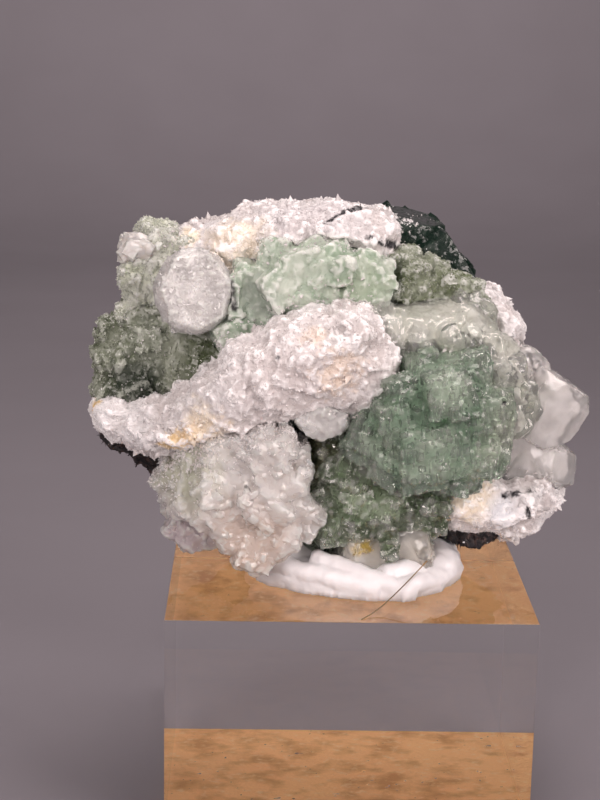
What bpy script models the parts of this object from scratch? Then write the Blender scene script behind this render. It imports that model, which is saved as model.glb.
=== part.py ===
"""A fluorite specimen on its display block.

Green fluorite and pale calcite crystals stand on a white quartz crust over dark host rock. The
specimen is pressed into white mounting putty on a clear acrylic block with a brown paper underside.
The origin is the middle of that underside, +Z is up and the camera of the reference looks along +Y.
Sizes in the tables below are millimetres, and the meshes are made in metres.
"""

import math
import random
from dataclasses import dataclass

import bmesh
import bpy
from mathutils import Euler, Matrix, Vector, noise

MM = 0.001

# Driving sizes, in millimetres
BLOCK_SIDE = 40.0
BLOCK_HEIGHT = 24.0
BLOCK_EDGE = 0.35
PAPER_THICKNESS = 0.4
PAPER_INSET = 0.3
CONTACT_GAP = 0.3
BLOCK_BASE = PAPER_THICKNESS + CONTACT_GAP
TABLE = BLOCK_BASE + BLOCK_HEIGHT

# The lumpy pieces: the melting grid, how far the skin is roughened, and how many facets are left
BALL_DETAIL = 3
BALL_NOISE = 0.35
CRUST_VOXEL = 0.9
CRUST_ROUGH = 0.3
CRUST_FACETS = 780
CRUST_SEED = 17
ROCK_VOXEL = 1.0
ROCK_ROUGH = 0.45
ROCK_FACETS = 360
ROCK_SEED = 29
PUTTY_VOXEL = 0.45
PUTTY_FACETS = 620

# Crystal points of the crust: height as a share of the facet's width, and how many facets have one
POINT_HEIGHT = (0.08, 0.4)
POINT_SHARE = 0.66

# How far a crystal's cut faces lean away from its corners and edges
CUT_LEAN = 0.22

# Growth steps on the crystals: size as a share of the crystal's, how much they face outwards
STEP_SIZE = (0.24, 0.55)
STEP_FACING = (0.2, 1.6)
STEP_SINK = 0.88
STEP_CUTS = 1
STEP_SEED = 500
SEEDS_PER_STONE = 50
GOLDEN_TURN = 137.5
TURN_SPREAD = 30.0
HIDDEN_SHARE = 0.9
BACK_FROM = 9.0
TINY = 1e-6

# Depth and width of a plate's face, rim and back, as shares of its half sizes
PLATE_RINGS = ((-1.0, 0.86), (-0.15, 1.0), (1.0, 0.94))

# Cleaning up: the share of triangles kept, and the distance under which corners are welded
THINNED_SHARE = 0.74
WELD_DISTANCE = 0.002

# Directions that a crystal is truncated along: its eight corners, then its twelve edges
CORNERS = [Vector((x, y, z)) for x in (-1, 1) for y in (-1, 1) for z in (-1, 1)]
EDGES = [
    Vector(pair)
    for a in (-1, 1)
    for b in (-1, 1)
    for pair in ((a, b, 0), (a, 0, b), (0, a, b))
]


@dataclass(frozen=True)
class Stone:
    """A crystal with flat faces: a box with some corners and edges cut off, and steps on it."""

    centre: tuple
    half: tuple
    turn: tuple = (0, 0, 0)
    facets: int = 8
    bite: tuple = (0.72, 0.92)
    seed: int = 1
    steps: int = 0
    jumble: float = 5.0


@dataclass(frozen=True)
class Plate:
    """A flat many-sided crystal that faces the viewer, thin at its rim."""

    centre: tuple
    half: tuple
    turn: tuple
    sides: int


@dataclass(frozen=True)
class Ball:
    """A rounded lump: an ellipsoid with a rough skin."""

    centre: tuple
    radii: tuple
    turn: tuple = (0, 0, 0)
    rough: float = 0.12
    seed: int = 1


# Fluorite, by where it sits as seen from the front
FLUORITE_UPPER_LEFT = [
    Stone((-21.7, 3.2, 60.5), (2.1, 4.4, 2.5), (8, 12, 20), 9, seed=11, steps=5, jumble=20),
    Stone((-22.3, 2.0, 56.0), (2.6, 4.6, 4.2), (0, -4, -10), 8, seed=12, steps=8, jumble=16),
    Stone((-18.8, 3.2, 59.0), (3.0, 4.4, 3.2), (0, 10, 5), 6, seed=13),
]
QUARTZ_TIP = [
    Stone((-24.2, -0.4, 60.9), (1.4, 1.7, 1.2), (20, 25, 10), 6, seed=14, steps=2, jumble=30),
]
FLUORITE_LEFT = [
    Stone((-23.5, 0.8, 48.9), (4.0, 5.4, 4.1), (5, -14, 14), 9, seed=21, steps=12, jumble=14),
    Stone((-17.6, 0.6, 49.4), (4.6, 5.0, 4.2), (-6, 28, -8), 7, seed=22, steps=7, jumble=10),
    Stone((-22.2, 1.2, 52.9), (2.8, 4.4, 1.9), (0, -8, 5), 6, seed=23, steps=2, jumble=20),
    Stone((-26.9, -1.4, 45.8), (1.3, 3.2, 1.8), (0, 30, 10), 6, seed=24, steps=2, jumble=20),
]
FLUORITE_MINT = [
    Stone((-5.4, -2.6, 58.7), (4.8, 5.2, 3.8), (0, -10, 10), 12, (0.7, 0.86), 31, 6, 24),
    Stone((-10.6, -2.2, 56.4), (2.8, 4.4, 4.0), (0, 12, -10), 9, (0.7, 0.86), 32, 5, 24),
    Stone((0.6, -2.6, 58.5), (2.6, 4.6, 3.2), (6, 10, 12), 9, (0.7, 0.86), 33, 5, 20),
    Stone((-1.4, -3.0, 55.4), (4.6, 4.0, 2.6), (0, 8, 0), 8, (0.72, 0.88), 34, 3, 20),
]
GREY_LUMP = [
    Stone((-13.4, -5.0, 53.0), (2.0, 2.8, 1.4), (0, -24, 14), 8, seed=36, steps=2, jumble=20),
]
FLUORITE_OLIVE = [
    Stone((8.4, 1.4, 56.6), (4.2, 5.2, 3.2), (0, 26, 6), 9, seed=41, steps=9, jumble=16),
    Stone((4.6, 1.6, 59.0), (2.4, 4.6, 2.8), (6, -10, 12), 8, seed=42, steps=3, jumble=16),
    Stone((12.2, 0.6, 54.6), (2.4, 4.4, 2.7), (0, 40, 4), 8, seed=43, steps=4, jumble=16),
]
FLUORITE_DARK = [
    Stone((6.7, 6.0, 61.3), (2.8, 5.0, 3.1), (4, 8, 12), 6, (0.78, 0.95), 51, 3),
    Stone((10.2, 5.2, 58.8), (2.3, 4.8, 4.6), (6, -36, 8), 4, (0.82, 0.96), 52, 2),
]
FLUORITE_MAIN = [
    Stone((8.8, -9.6, 45.0), (6.0, 5.0, 5.0), (6, -12, 8), 8, (0.74, 0.92), 61, 16),
    Stone((3.6, -9.0, 43.2), (3.2, 4.6, 3.6), (0, 26, -12), 7, seed=62, steps=6),
    Stone((13.0, -8.8, 43.8), (3.2, 5.0, 4.8), (0, 4, 6), 6, (0.8, 0.95), 63, 8),
    Stone((9.4, -9.2, 39.8), (4.6, 4.6, 2.6), (-4, 8, 4), 6, seed=64, steps=7),
    Stone((9.6, -8.4, 50.2), (4.4, 3.8, 2.0), (0, -4, 10), 6, seed=65, steps=3),
]
FLUORITE_LOWER = [
    Stone((1.6, -6.8, 38.2), (4.0, 4.8, 4.2), (0, 14, 6), 9, (0.7, 0.88), 71, 8, 12),
    Stone((0.4, -6.4, 33.2), (5.2, 4.8, 2.9), (0, -4, -6), 6, seed=72, steps=7),
    Stone((6.0, -6.2, 33.8), (3.6, 4.6, 3.2), (4, 18, 8), 6, seed=73, steps=6),
    Stone((-3.4, -2.6, 37.0), (2.2, 3.6, 4.6), (0, 6, 12), 4, (0.82, 0.95), 74),
    Stone((-3.0, -3.4, 29.4), (2.6, 3.2, 1.4), (0, 6, 6), 4, seed=75),
]
FLUORITE_BACK = [
    Stone((-12.0, 12.0, 54.0), (5.0, 4.4, 4.6), (12, 16, 24), 7, seed=81, steps=6),
    Stone((-5.6, 13.2, 57.0), (4.0, 4.0, 3.6), (-8, -18, 40), 7, seed=82, steps=4),
    Stone((-8.4, 13.8, 50.2), (3.6, 3.4, 3.6), (20, 8, -14), 7, seed=83, steps=3),
]
FLUORITE_BACK_RIGHT = [
    Stone((11.0, 12.2, 46.4), (4.6, 4.2, 4.6), (10, -22, 30), 7, seed=85, steps=6),
    Stone((15.6, 9.6, 42.0), (3.6, 4.2, 3.6), (-14, 12, 16), 7, seed=86, steps=3),
]

# Calcite and quartz, from clear to milky
CALCITE_PLATE = [
    Plate((-17.6, -6.0, 57.6), (4.3, 1.7, 4.7), (-12, 4, 10), 13),
]
CALCITE_CLEAR = [
    Stone((4.2, -6.0, 52.8), (3.6, 4.4, 3.2), (8, 10, 6), 10, (0.72, 0.88), 101, 4, 30),
    Stone((9.4, -5.8, 52.9), (4.4, 4.6, 3.3), (4, -8, 14), 12, (0.7, 0.88), 102, 3, 30),
    Stone((14.0, -4.6, 50.4), (2.8, 4.8, 3.4), (0, 30, 4), 8, seed=103, steps=2),
    Stone((16.2, -5.0, 46.6), (2.6, 4.4, 4.4), (0, -8, 4), 6, (0.8, 0.95), 104, 4),
]
CALCITE_RIGHT = [
    Stone((21.7, -0.8, 44.2), (3.1, 4.4, 3.7), (10, 30, 26), 9, (0.7, 0.88), 111),
    Stone((22.8, -1.4, 37.2), (2.0, 3.0, 2.3), (-8, -24, 40), 7, (0.7, 0.88), 112),
    Stone((19.6, -1.6, 37.2), (2.2, 3.0, 2.6), (6, 34, 20), 7, seed=113, steps=3, jumble=30),
    Stone((19.2, 0.8, 48.6), (2.0, 3.2, 1.5), (0, 14, 10), 7, seed=114, steps=4, jumble=30),
    Stone((19.4, -0.6, 41.0), (2.8, 4.0, 3.6), (0, 10, 10), 6, seed=115, steps=2, jumble=20),
]
CALCITE_LEFT = [
    Stone((-17.0, -7.0, 37.0), (3.1, 4.6, 4.0), (0, 6, 16), 8, seed=121, steps=6, jumble=24),
    Stone((-11.2, -9.6, 39.0), (4.4, 4.4, 4.4), (4, -6, -6), 8, seed=122, steps=9, jumble=18),
    Stone((-6.8, -9.4, 38.0), (1.4, 3.4, 3.7), (0, 2, 10), 6, (0.82, 0.95), 123, 1),
    Stone((-11.0, -8.8, 33.2), (5.0, 4.6, 3.5), (4, 14, 4), 12, (0.7, 0.88), 124, 4, 30),
    Stone((-16.6, -4.4, 31.2), (2.9, 4.4, 2.1), (0, -10, 10), 6, seed=125, steps=2, jumble=30),
    Stone((-5.8, -8.6, 33.6), (2.4, 3.2, 2.0), (0, 26, 0), 6, seed=126),
]
CALCITE_FOOT = [
    Stone((1.6, -7.4, 28.7), (2.7, 3.8, 2.3), (0, 6, 12), 10, (0.7, 0.86), 131, 1, 30),
    Stone((6.2, -7.2, 29.2), (3.0, 3.6, 2.4), (0, -10, -6), 10, (0.7, 0.86), 132, 2, 30),
]
CALCITE_HANGING = [
    Plate((-3.4, -11.2, 45.0), (2.9, 1.8, 2.1), (8, 6, 0), 10),
]

# Lumps of the dark host rock, which shows along the underside and most of the back
HOST_ROCK = [
    Ball((-25.2, 0.8, 39.6), (3.9, 6.0, 2.0), (0, 22, 0), 0.16, 201),
    Ball((-20.0, 7.5, 37.0), (6.0, 6.5, 4.2), (0, 10, 0), 0.16, 202),
    Ball((-10.0, 11.0, 38.0), (10.0, 4.6, 9.0), (0, 0, 10), 0.16, 203),
    Ball((3.0, 11.6, 37.0), (11.0, 4.4, 9.0), (0, 0, -6), 0.16, 204),
    Ball((13.0, 7.0, 33.6), (7.0, 7.0, 4.0), (0, -12, 0), 0.16, 205),
    Ball((14.6, -1.8, 30.2), (4.6, 5.6, 1.9), (0, -8, 0), 0.16, 206),
    Ball((-2.0, 11.2, 47.0), (12.0, 4.0, 6.0), (0, 8, 0), 0.16, 207),
]

# Lumps of the white quartz crust, from the heart outwards
QUARTZ_CRUST = [
    Ball((-2.0, 4.0, 44.0), (17.5, 8.5, 12.0), (0, 0, 0), 0.10, 301),
    Ball((-14.0, 5.5, 51.5), (9.0, 7.0, 9.0), (0, 0, 0), 0.10, 302),
    Ball((8.0, 5.0, 48.5), (9.0, 7.0, 8.6), (0, 0, 0), 0.10, 303),
    Ball((-26.0, -2.6, 43.0), (3.3, 5.6, 2.5), (0, 20, 0), 0.14, 304),
    Ball((-21.8, -5.0, 42.2), (4.0, 6.0, 2.9), (0, 6, 0), 0.14, 305),
    Ball((-17.6, -7.4, 43.8), (4.4, 6.0, 3.4), (0, -26, 0), 0.14, 306),
    Ball((-13.4, -9.2, 46.6), (4.6, 6.0, 4.2), (0, -34, 0), 0.14, 307),
    Ball((-9.6, -10.4, 49.4), (4.8, 6.0, 4.9), (0, -34, 0), 0.14, 308),
    Ball((-5.2, -10.4, 51.6), (4.9, 6.0, 4.6), (0, -20, 0), 0.14, 309),
    Ball((-0.8, -9.8, 53.6), (3.8, 5.0, 3.6), (0, 0, 0), 0.20, 310),
    Ball((1.8, -9.6, 51.6), (3.3, 4.6, 3.0), (0, 0, 0), 0.20, 311),
    Ball((0.4, -9.6, 48.6), (3.9, 4.6, 3.7), (0, 0, 0), 0.16, 312),
    Ball((-4.6, -9.4, 47.4), (4.6, 4.6, 3.0), (0, 0, 0), 0.14, 313),
    Ball((-18.2, 2.4, 61.9), (2.4, 4.6, 1.5), (0, 0, 0), 0.16, 314),
    Ball((-13.2, 1.6, 62.0), (4.2, 6.0, 3.1), (0, -16, 0), 0.14, 315),
    Ball((-8.4, 2.0, 63.4), (4.9, 7.0, 2.7), (0, -4, 0), 0.14, 316),
    Ball((-3.0, 2.4, 63.8), (5.2, 7.0, 2.6), (0, 0, 0), 0.14, 317),
    Ball((1.8, 2.6, 63.0), (3.8, 6.4, 2.9), (0, 14, 0), 0.14, 318),
    Ball((-13.0, 0.0, 58.4), (2.4, 4.0, 3.6), (0, 0, 0), 0.14, 319),
    Ball((15.0, 3.0, 55.6), (1.9, 4.6, 2.0), (0, 30, 0), 0.18, 320),
    Ball((17.2, 2.4, 52.2), (2.7, 5.4, 2.8), (0, 30, 0), 0.20, 321),
    Ball((12.8, -4.8, 34.4), (4.6, 5.8, 3.6), (0, -6, 0), 0.14, 322),
    Ball((18.4, -3.0, 33.2), (5.0, 5.6, 3.6), (0, -14, 0), 0.16, 323),
    Ball((21.2, -1.4, 34.4), (3.2, 5.0, 3.0), (0, -14, 0), 0.18, 324),
    Ball((-1.0, 2.0, 34.0), (12.0, 7.0, 5.6), (0, 0, 0), 0.10, 325),
    Ball((-4.5, -0.4, 30.4), (7.0, 4.6, 3.2), (0, 0, 0), 0.10, 326),
    Ball((13.0, 2.0, 40.0), (8.6, 6.4, 7.0), (0, 0, 0), 0.10, 327),
]

# Folds of the putty, pressed flat on the block and up round the specimen's foot
PUTTY = [
    Ball((0.4, -3.0, 25.6), (9.4, 7.4, 2.2), (0, 0, 0), 0.05, 401),
    Ball((-6.6, -4.6, 27.0), (3.6, 4.0, 2.3), (0, 14, 20), 0.05, 402),
    Ball((-7.6, -7.0, 25.5), (2.3, 2.0, 0.9), (0, 0, 24), 0.04, 403),
    Ball((-2.6, -8.6, 26.3), (4.8, 2.3, 1.3), (0, 6, -22), 0.04, 404),
    Ball((-2.8, -10.4, 25.2), (5.2, 1.6, 0.8), (0, 0, -24), 0.04, 405),
    Ball((3.4, -11.2, 25.3), (4.2, 1.9, 1.0), (0, 0, 6), 0.04, 406),
    Ball((4.4, -10.6, 26.8), (1.7, 1.5, 1.5), (0, 12, 0), 0.05, 407),
    Ball((8.2, -9.0, 26.0), (2.9, 2.3, 1.7), (0, -14, 30), 0.05, 408),
    Ball((9.9, -5.4, 26.6), (2.6, 3.6, 2.1), (0, -8, 10), 0.05, 409),
    Ball((0.0, 3.5, 26.6), (7.0, 4.0, 2.6), (0, 0, 0), 0.05, 410),
]

# Name, pieces, colour, roughness and how much light passes through
CRYSTAL_NODES = [
    ("calcite_plate", CALCITE_PLATE, (0.74, 0.71, 0.70), 0.30, 0.5),
    ("quartz_tip", QUARTZ_TIP, (0.84, 0.80, 0.78), 0.40, 0.3),
    ("grey_calcite", GREY_LUMP, (0.55, 0.58, 0.52), 0.30, 0.5),
    ("calcite_hanging", CALCITE_HANGING, (0.70, 0.66, 0.64), 0.30, 0.5),
    ("calcite_left", CALCITE_LEFT, (0.76, 0.73, 0.69), 0.30, 0.4),
    ("calcite_right", CALCITE_RIGHT, (0.80, 0.78, 0.76), 0.20, 0.5),
    ("calcite_foot", CALCITE_FOOT, (0.72, 0.68, 0.60), 0.20, 0.6),
    ("fluorite_main", FLUORITE_MAIN, (0.27, 0.38, 0.29), 0.20, 0.7),
    ("calcite_clear", CALCITE_CLEAR, (0.58, 0.60, 0.51), 0.15, 0.7),
    ("fluorite_lower", FLUORITE_LOWER, (0.16, 0.21, 0.14), 0.20, 0.7),
    ("fluorite_mint", FLUORITE_MINT, (0.45, 0.55, 0.43), 0.45, 0.5),
    ("fluorite_olive", FLUORITE_OLIVE, (0.28, 0.34, 0.20), 0.40, 0.5),
    ("fluorite_dark", FLUORITE_DARK, (0.02, 0.06, 0.04), 0.20, 0.6),
    ("fluorite_left", FLUORITE_LEFT, (0.18, 0.22, 0.14), 0.40, 0.5),
    ("fluorite_upper_left", FLUORITE_UPPER_LEFT, (0.38, 0.44, 0.30), 0.40, 0.5),
    ("fluorite_back", FLUORITE_BACK, (0.27, 0.38, 0.29), 0.30, 0.6),
    ("fluorite_back_right", FLUORITE_BACK_RIGHT, (0.27, 0.38, 0.29), 0.30, 0.6),
]


def clear_scene():
    """Removes every object, so that the scene holds only the specimen."""
    for obj in list(bpy.data.objects):
        bpy.data.objects.remove(obj)


def finish_of(name, colour, roughness, clear=0.0, ior=1.45):
    """A Principled material with the piece's own colour."""
    material = bpy.data.materials.new(name)
    material.use_nodes = True
    shader = material.node_tree.nodes["Principled BSDF"]
    shader.inputs["Base Color"].default_value = (*colour, 1.0)
    shader.inputs["Roughness"].default_value = roughness
    shader.inputs["Metallic"].default_value = 0.0
    shader.inputs["Transmission Weight"].default_value = clear
    shader.inputs["IOR"].default_value = ior
    return material


def object_from(bm, name):
    """A new object with this mesh, linked to the scene."""
    mesh = bpy.data.meshes.new(name)
    bm.to_mesh(mesh)
    bm.free()
    obj = bpy.data.objects.new(name, mesh)
    bpy.context.scene.collection.objects.link(obj)
    return obj


def placing(centre, turn):
    """The matrix that turns a piece by these degrees and moves it to its centre, in metres."""
    angles = Euler([math.radians(a) for a in turn])
    return Matrix.Translation(Vector(centre) * MM) @ angles.to_matrix().to_4x4()


def cut_flat(bm, direction, distance):
    """Cuts off what lies past a plane at this distance from the origin, and closes the cut."""
    everything = bm.verts[:] + bm.edges[:] + bm.faces[:]
    bmesh.ops.bisect_plane(
        bm,
        geom=everything,
        plane_co=direction * distance,
        plane_no=direction,
        clear_outer=True,
    )
    rim = [edge for edge in bm.edges if edge.is_boundary]
    if rim:
        bmesh.ops.holes_fill(bm, edges=rim)


def stone_mesh(stone, grow=0.0):
    """The mesh of one crystal, with every face moved out by grow millimetres."""
    chance = random.Random(stone.seed)
    half = Vector(stone.half)
    bm = bmesh.new()
    bmesh.ops.create_cube(bm, size=2.0)
    for vert in bm.verts:
        vert.co = Vector([vert.co[k] * (half[k] + grow) for k in range(3)])
    directions = CORNERS[:]
    chance.shuffle(directions)
    more = EDGES[:]
    chance.shuffle(more)
    for direction in (directions + more)[: stone.facets]:
        lean = Vector([chance.uniform(-CUT_LEAN, CUT_LEAN) for _ in range(3)])
        plane = (direction + lean).normalized()
        reach = sum(abs(plane[k]) * half[k] for k in range(3))
        cut_flat(bm, plane, reach * chance.uniform(*stone.bite) + grow)
    bmesh.ops.recalc_face_normals(bm, faces=bm.faces)
    bmesh.ops.scale(bm, vec=(MM, MM, MM), verts=bm.verts)
    bmesh.ops.transform(bm, matrix=placing(stone.centre, stone.turn), verts=bm.verts)
    return bm


def steps_of(stone):
    """The small crystals that stand on a stone, turned almost as it is, like growth steps."""
    chance = random.Random(stone.seed + STEP_SEED)
    place = placing(stone.centre, stone.turn)
    inverse = place.to_3x3().inverted()
    steps = []
    for k in range(stone.steps):
        bearing = math.radians(GOLDEN_TURN * k + chance.uniform(0, TURN_SPREAD))
        side = 1.0 if stone.centre[1] > BACK_FROM else -1.0
        tip = Vector((math.cos(bearing), side * chance.uniform(*STEP_FACING), math.sin(bearing)))
        local = inverse @ tip.normalized()
        reach = min(stone.half[n] / max(abs(local[n]), TINY) for n in range(3))
        centre = (place @ (local * reach * STEP_SINK * MM)) / MM
        size = [chance.uniform(*STEP_SIZE) * min(stone.half) for _ in range(3)]
        turn = [angle + chance.uniform(-stone.jumble, stone.jumble) for angle in stone.turn]
        seed = stone.seed * SEEDS_PER_STONE + k
        if shows(centre, stone):
            step = Stone(tuple(centre), tuple(size), tuple(turn), STEP_CUTS, seed=seed)
            steps.append(step)
    return steps


def shows(point, own):
    """Whether a point is clear of the crust's lumps and of the other crystals."""
    for ball in QUARTZ_CRUST + HOST_ROCK:
        local = placing(ball.centre, ball.turn).inverted() @ (point * MM) / MM
        if sum((local[k] / ball.radii[k]) ** 2 for k in range(3)) < 1.0:
            return False
    for node in CRYSTAL_NODES:
        for other in node[1]:
            if other == own or isinstance(other, Plate):
                continue
            local = placing(other.centre, other.turn).inverted() @ (point * MM) / MM
            if all(abs(local[k]) < other.half[k] * HIDDEN_SHARE for k in range(3)):
                return False
    return True


def plate_mesh(plate, grow=0.0):
    """The mesh of one flat crystal: a many-sided disc with a bevelled rim."""
    bm = bmesh.new()
    half = [size + grow for size in plate.half]
    rings = []
    for depth, share in PLATE_RINGS:
        ring = []
        for k in range(plate.sides):
            angle = math.tau * k / plate.sides
            x = half[0] * share * math.cos(angle)
            z = half[2] * share * math.sin(angle)
            ring.append(bm.verts.new((x, half[1] * depth, z)))
        rings.append(ring)
    bm.faces.new(rings[0])
    bm.faces.new(rings[-1][::-1])
    for inner, outer in zip(rings, rings[1:]):
        for k in range(plate.sides):
            following = (k + 1) % plate.sides
            corners = (inner[k], inner[following], outer[following], outer[k])
            bm.faces.new(corners)
    bmesh.ops.recalc_face_normals(bm, faces=bm.faces)
    bmesh.ops.scale(bm, vec=(MM, MM, MM), verts=bm.verts)
    bmesh.ops.transform(bm, matrix=placing(plate.centre, plate.turn), verts=bm.verts)
    return bm


def crystal_meshes(pieces, grow=0.0):
    """The meshes of a group's crystals and of the steps on them."""
    meshes = []
    for piece in pieces:
        if isinstance(piece, Plate):
            meshes.append(plate_mesh(piece, grow))
            continue
        meshes.append(stone_mesh(piece, grow))
        meshes += [stone_mesh(step, grow) for step in steps_of(piece)]
    return meshes


def ball_mesh(ball):
    """The mesh of one lump, pushed in and out by smooth noise."""
    bm = bmesh.new()
    bmesh.ops.create_icosphere(bm, subdivisions=BALL_DETAIL, radius=1.0)
    radii = Vector(ball.radii)
    for vert in bm.verts:
        point = Vector([vert.co[k] * radii[k] for k in range(3)])
        swell = noise.noise(point * BALL_NOISE + Vector((ball.seed, 0.0, 0.0)))
        vert.co = point * (1.0 + ball.rough * swell) * MM
    bmesh.ops.transform(bm, matrix=placing(ball.centre, ball.turn), verts=bm.verts)
    return bm


def baked(obj):
    """Gives the object the mesh that its modifiers make, and drops the modifiers."""
    bpy.context.view_layer.update()
    graph = bpy.context.evaluated_depsgraph_get()
    mesh = bpy.data.meshes.new_from_object(obj.evaluated_get(graph))
    obj.modifiers.clear()
    obj.data = mesh
    return obj


def tidy(obj):
    """Thins out the mesh where it is flat, welds it and keeps only its largest body."""
    thin = obj.modifiers.new("thin", "DECIMATE")
    thin.ratio = THINNED_SHARE
    baked(obj)
    bm = bmesh.new()
    bm.from_mesh(obj.data)
    bmesh.ops.remove_doubles(bm, verts=bm.verts, dist=WELD_DISTANCE * MM)
    bmesh.ops.dissolve_degenerate(bm, edges=bm.edges, dist=WELD_DISTANCE * MM)
    bmesh.ops.triangulate(bm, faces=bm.faces)
    islands = islands_of(bm)
    for island in islands[1:]:
        bmesh.ops.delete(bm, geom=island, context="FACES")
    loose = [vert for vert in bm.verts if not vert.link_faces]
    bmesh.ops.delete(bm, geom=loose, context="VERTS")
    bm.to_mesh(obj.data)
    bm.free()


def islands_of(bm):
    """The mesh's separate bodies as lists of faces, the widest first."""
    left = set(bm.faces)
    islands = []
    while left:
        front = [left.pop()]
        island = list(front)
        while front:
            face = front.pop()
            for edge in face.edges:
                for other in edge.link_faces:
                    if other in left:
                        left.remove(other)
                        front.append(other)
                        island.append(other)
        islands.append(island)
    return sorted(islands, key=lambda part: -sum(face.calc_area() for face in part))


def boolean(obj, operation, others):
    """Joins the others to the object or takes them from it, all at once."""
    group = bpy.data.collections.new(obj.name + "_" + operation.lower())
    for other in others:
        group.objects.link(other)
    modifier = obj.modifiers.new(operation.lower(), "BOOLEAN")
    modifier.operation = operation
    modifier.operand_type = "COLLECTION"
    modifier.collection = group
    modifier.solver = "EXACT"
    baked(obj)
    bpy.data.collections.remove(group)


def near(obj, others):
    """Those of the others whose boxes meet the object's box."""
    low, high = corners_of(obj)
    found = []
    for other in others:
        other_low, other_high = corners_of(other)
        if all(low[k] < other_high[k] and other_low[k] < high[k] for k in range(3)):
            found.append(other)
    return found


def corners_of(obj):
    """The lowest and highest corner of the object's mesh."""
    points = [vert.co for vert in obj.data.vertices]
    low = [min(point[k] for point in points) for k in range(3)]
    high = [max(point[k] for point in points) for k in range(3)]
    return low, high


def crystal_node(name, pieces):
    """One crystal group: its crystals joined in one solid."""
    made = [object_from(mesh, name + "_crystal") for mesh in crystal_meshes(pieces)]
    body = made[0]
    body.name = name
    if made[1:]:
        boolean(body, "UNION", made[1:])
    for crystal in made[1:]:
        bpy.data.objects.remove(crystal)
    return body


def crystal_cutters(name, pieces):
    """The same crystals, larger by the contact gap, to cut what grows against them."""
    grown = crystal_meshes(pieces, CONTACT_GAP)
    cutters = [object_from(mesh, name + "_cutter") for mesh in grown]
    for cutter in cutters:
        cutter.hide_render = True
        cutter.display_type = "WIRE"
    return cutters


def lump_node(name, balls, voxel, facets, rough=0.0, seed=1):
    """One lumpy body: its balls melted together, roughened and reduced to flat facets."""
    joined = bmesh.new()
    for ball in balls:
        part = ball_mesh(ball)
        mesh = bpy.data.meshes.new(name)
        part.to_mesh(mesh)
        part.free()
        joined.from_mesh(mesh)
        bpy.data.meshes.remove(mesh)
    obj = object_from(joined, name)
    melt = obj.modifiers.new("melt", "REMESH")
    melt.mode = "VOXEL"
    melt.voxel_size = voxel * MM
    baked(obj)
    roughen(obj, rough, seed)
    obj.data.calc_loop_triangles()
    reduce = obj.modifiers.new("facets", "DECIMATE")
    reduce.ratio = min(1.0, facets / len(obj.data.loop_triangles))
    return baked(obj)


def roughen(obj, amount, seed):
    """Moves every corner of the skin in or out at random, by up to this many millimetres."""
    chance = random.Random(seed)
    normals = [vert.normal.copy() for vert in obj.data.vertices]
    for vert, normal in zip(obj.data.vertices, normals):
        vert.co += normal * chance.uniform(-amount, amount) * MM


def grown_copy(obj):
    """A copy of a lumpy body, larger by the contact gap, to cut its neighbours."""
    bm = bmesh.new()
    bm.from_mesh(obj.data)
    bm.normal_update()
    moves = [vert.normal * CONTACT_GAP * MM * vert.calc_shell_factor() for vert in bm.verts]
    for vert, move in zip(bm.verts, moves):
        vert.co += move
    copy = object_from(bm, obj.name + "_cutter")
    copy.hide_render = True
    copy.display_type = "WIRE"
    return copy


def raise_points(obj, seed):
    """Raises a low crystal point on most of the body's facets."""
    chance = random.Random(seed)
    bm = bmesh.new()
    bm.from_mesh(obj.data)
    bmesh.ops.triangulate(bm, faces=bm.faces)
    for face in bm.faces[:]:
        if chance.random() > POINT_SHARE:
            continue
        height = math.sqrt(face.calc_area()) * chance.uniform(*POINT_HEIGHT)
        bmesh.ops.poke(bm, faces=[face], offset=height)
    bm.to_mesh(obj.data)
    bm.free()


def slab(name, side, low, high, edge):
    """A square slab with its edges cut off flat, centred on the Z axis."""
    bm = bmesh.new()
    bmesh.ops.create_cube(bm, size=1.0)
    size = Vector((side, side, high - low)) * MM
    bmesh.ops.scale(bm, vec=size, verts=bm.verts)
    middle = Vector((0.0, 0.0, (low + high) / 2 * MM))
    bmesh.ops.translate(bm, vec=middle, verts=bm.verts)
    if edge:
        bmesh.ops.bevel(
            bm, geom=bm.edges[:], offset=edge * MM, segments=1, affect="EDGES"
        )
    return object_from(bm, name)


def dress(obj, material):
    """Gives the object one material."""
    obj.data.materials.clear()
    obj.data.materials.append(material)


def build_base():
    """The clear block and the paper on its underside."""
    paper_side = BLOCK_SIDE - 2 * PAPER_INSET
    paper = slab("backing_paper", paper_side, 0.0, PAPER_THICKNESS, 0.0)
    dress(paper, finish_of("brown_paper", (0.40, 0.22, 0.09), 0.8))
    block = slab("acrylic_block", BLOCK_SIDE, BLOCK_BASE, TABLE, BLOCK_EDGE)
    dress(block, finish_of("clear_acrylic", (1.0, 1.0, 1.0), 0.02, 1.0, 1.49))


def flatten_foot(putty):
    """Presses the putty's lower side flat, a contact gap above the block."""
    floor = (TABLE + CONTACT_GAP) * MM
    down = Vector((0.0, 0.0, -1.0))
    bm = bmesh.new()
    bm.from_mesh(putty.data)
    cut_flat(bm, down, -floor)
    bm.to_mesh(putty.data)
    bm.free()


def build_crystals():
    """The crystal groups, each cut to fit those before it. Returns the cutters of them all."""
    cutters = []
    for name, pieces, colour, roughness, clear in CRYSTAL_NODES:
        node = crystal_node(name, pieces)
        fit_between(node, cutters)
        dress(node, finish_of(name, colour, roughness, clear))
        cutters += crystal_cutters(name, pieces)
    return cutters


def fit_between(node, cutters):
    """Cuts a node back from the pieces that it grows or lies against, and cleans it up."""
    blocking = near(node, cutters)
    if blocking:
        boolean(node, "DIFFERENCE", blocking)
    tidy(node)


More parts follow.
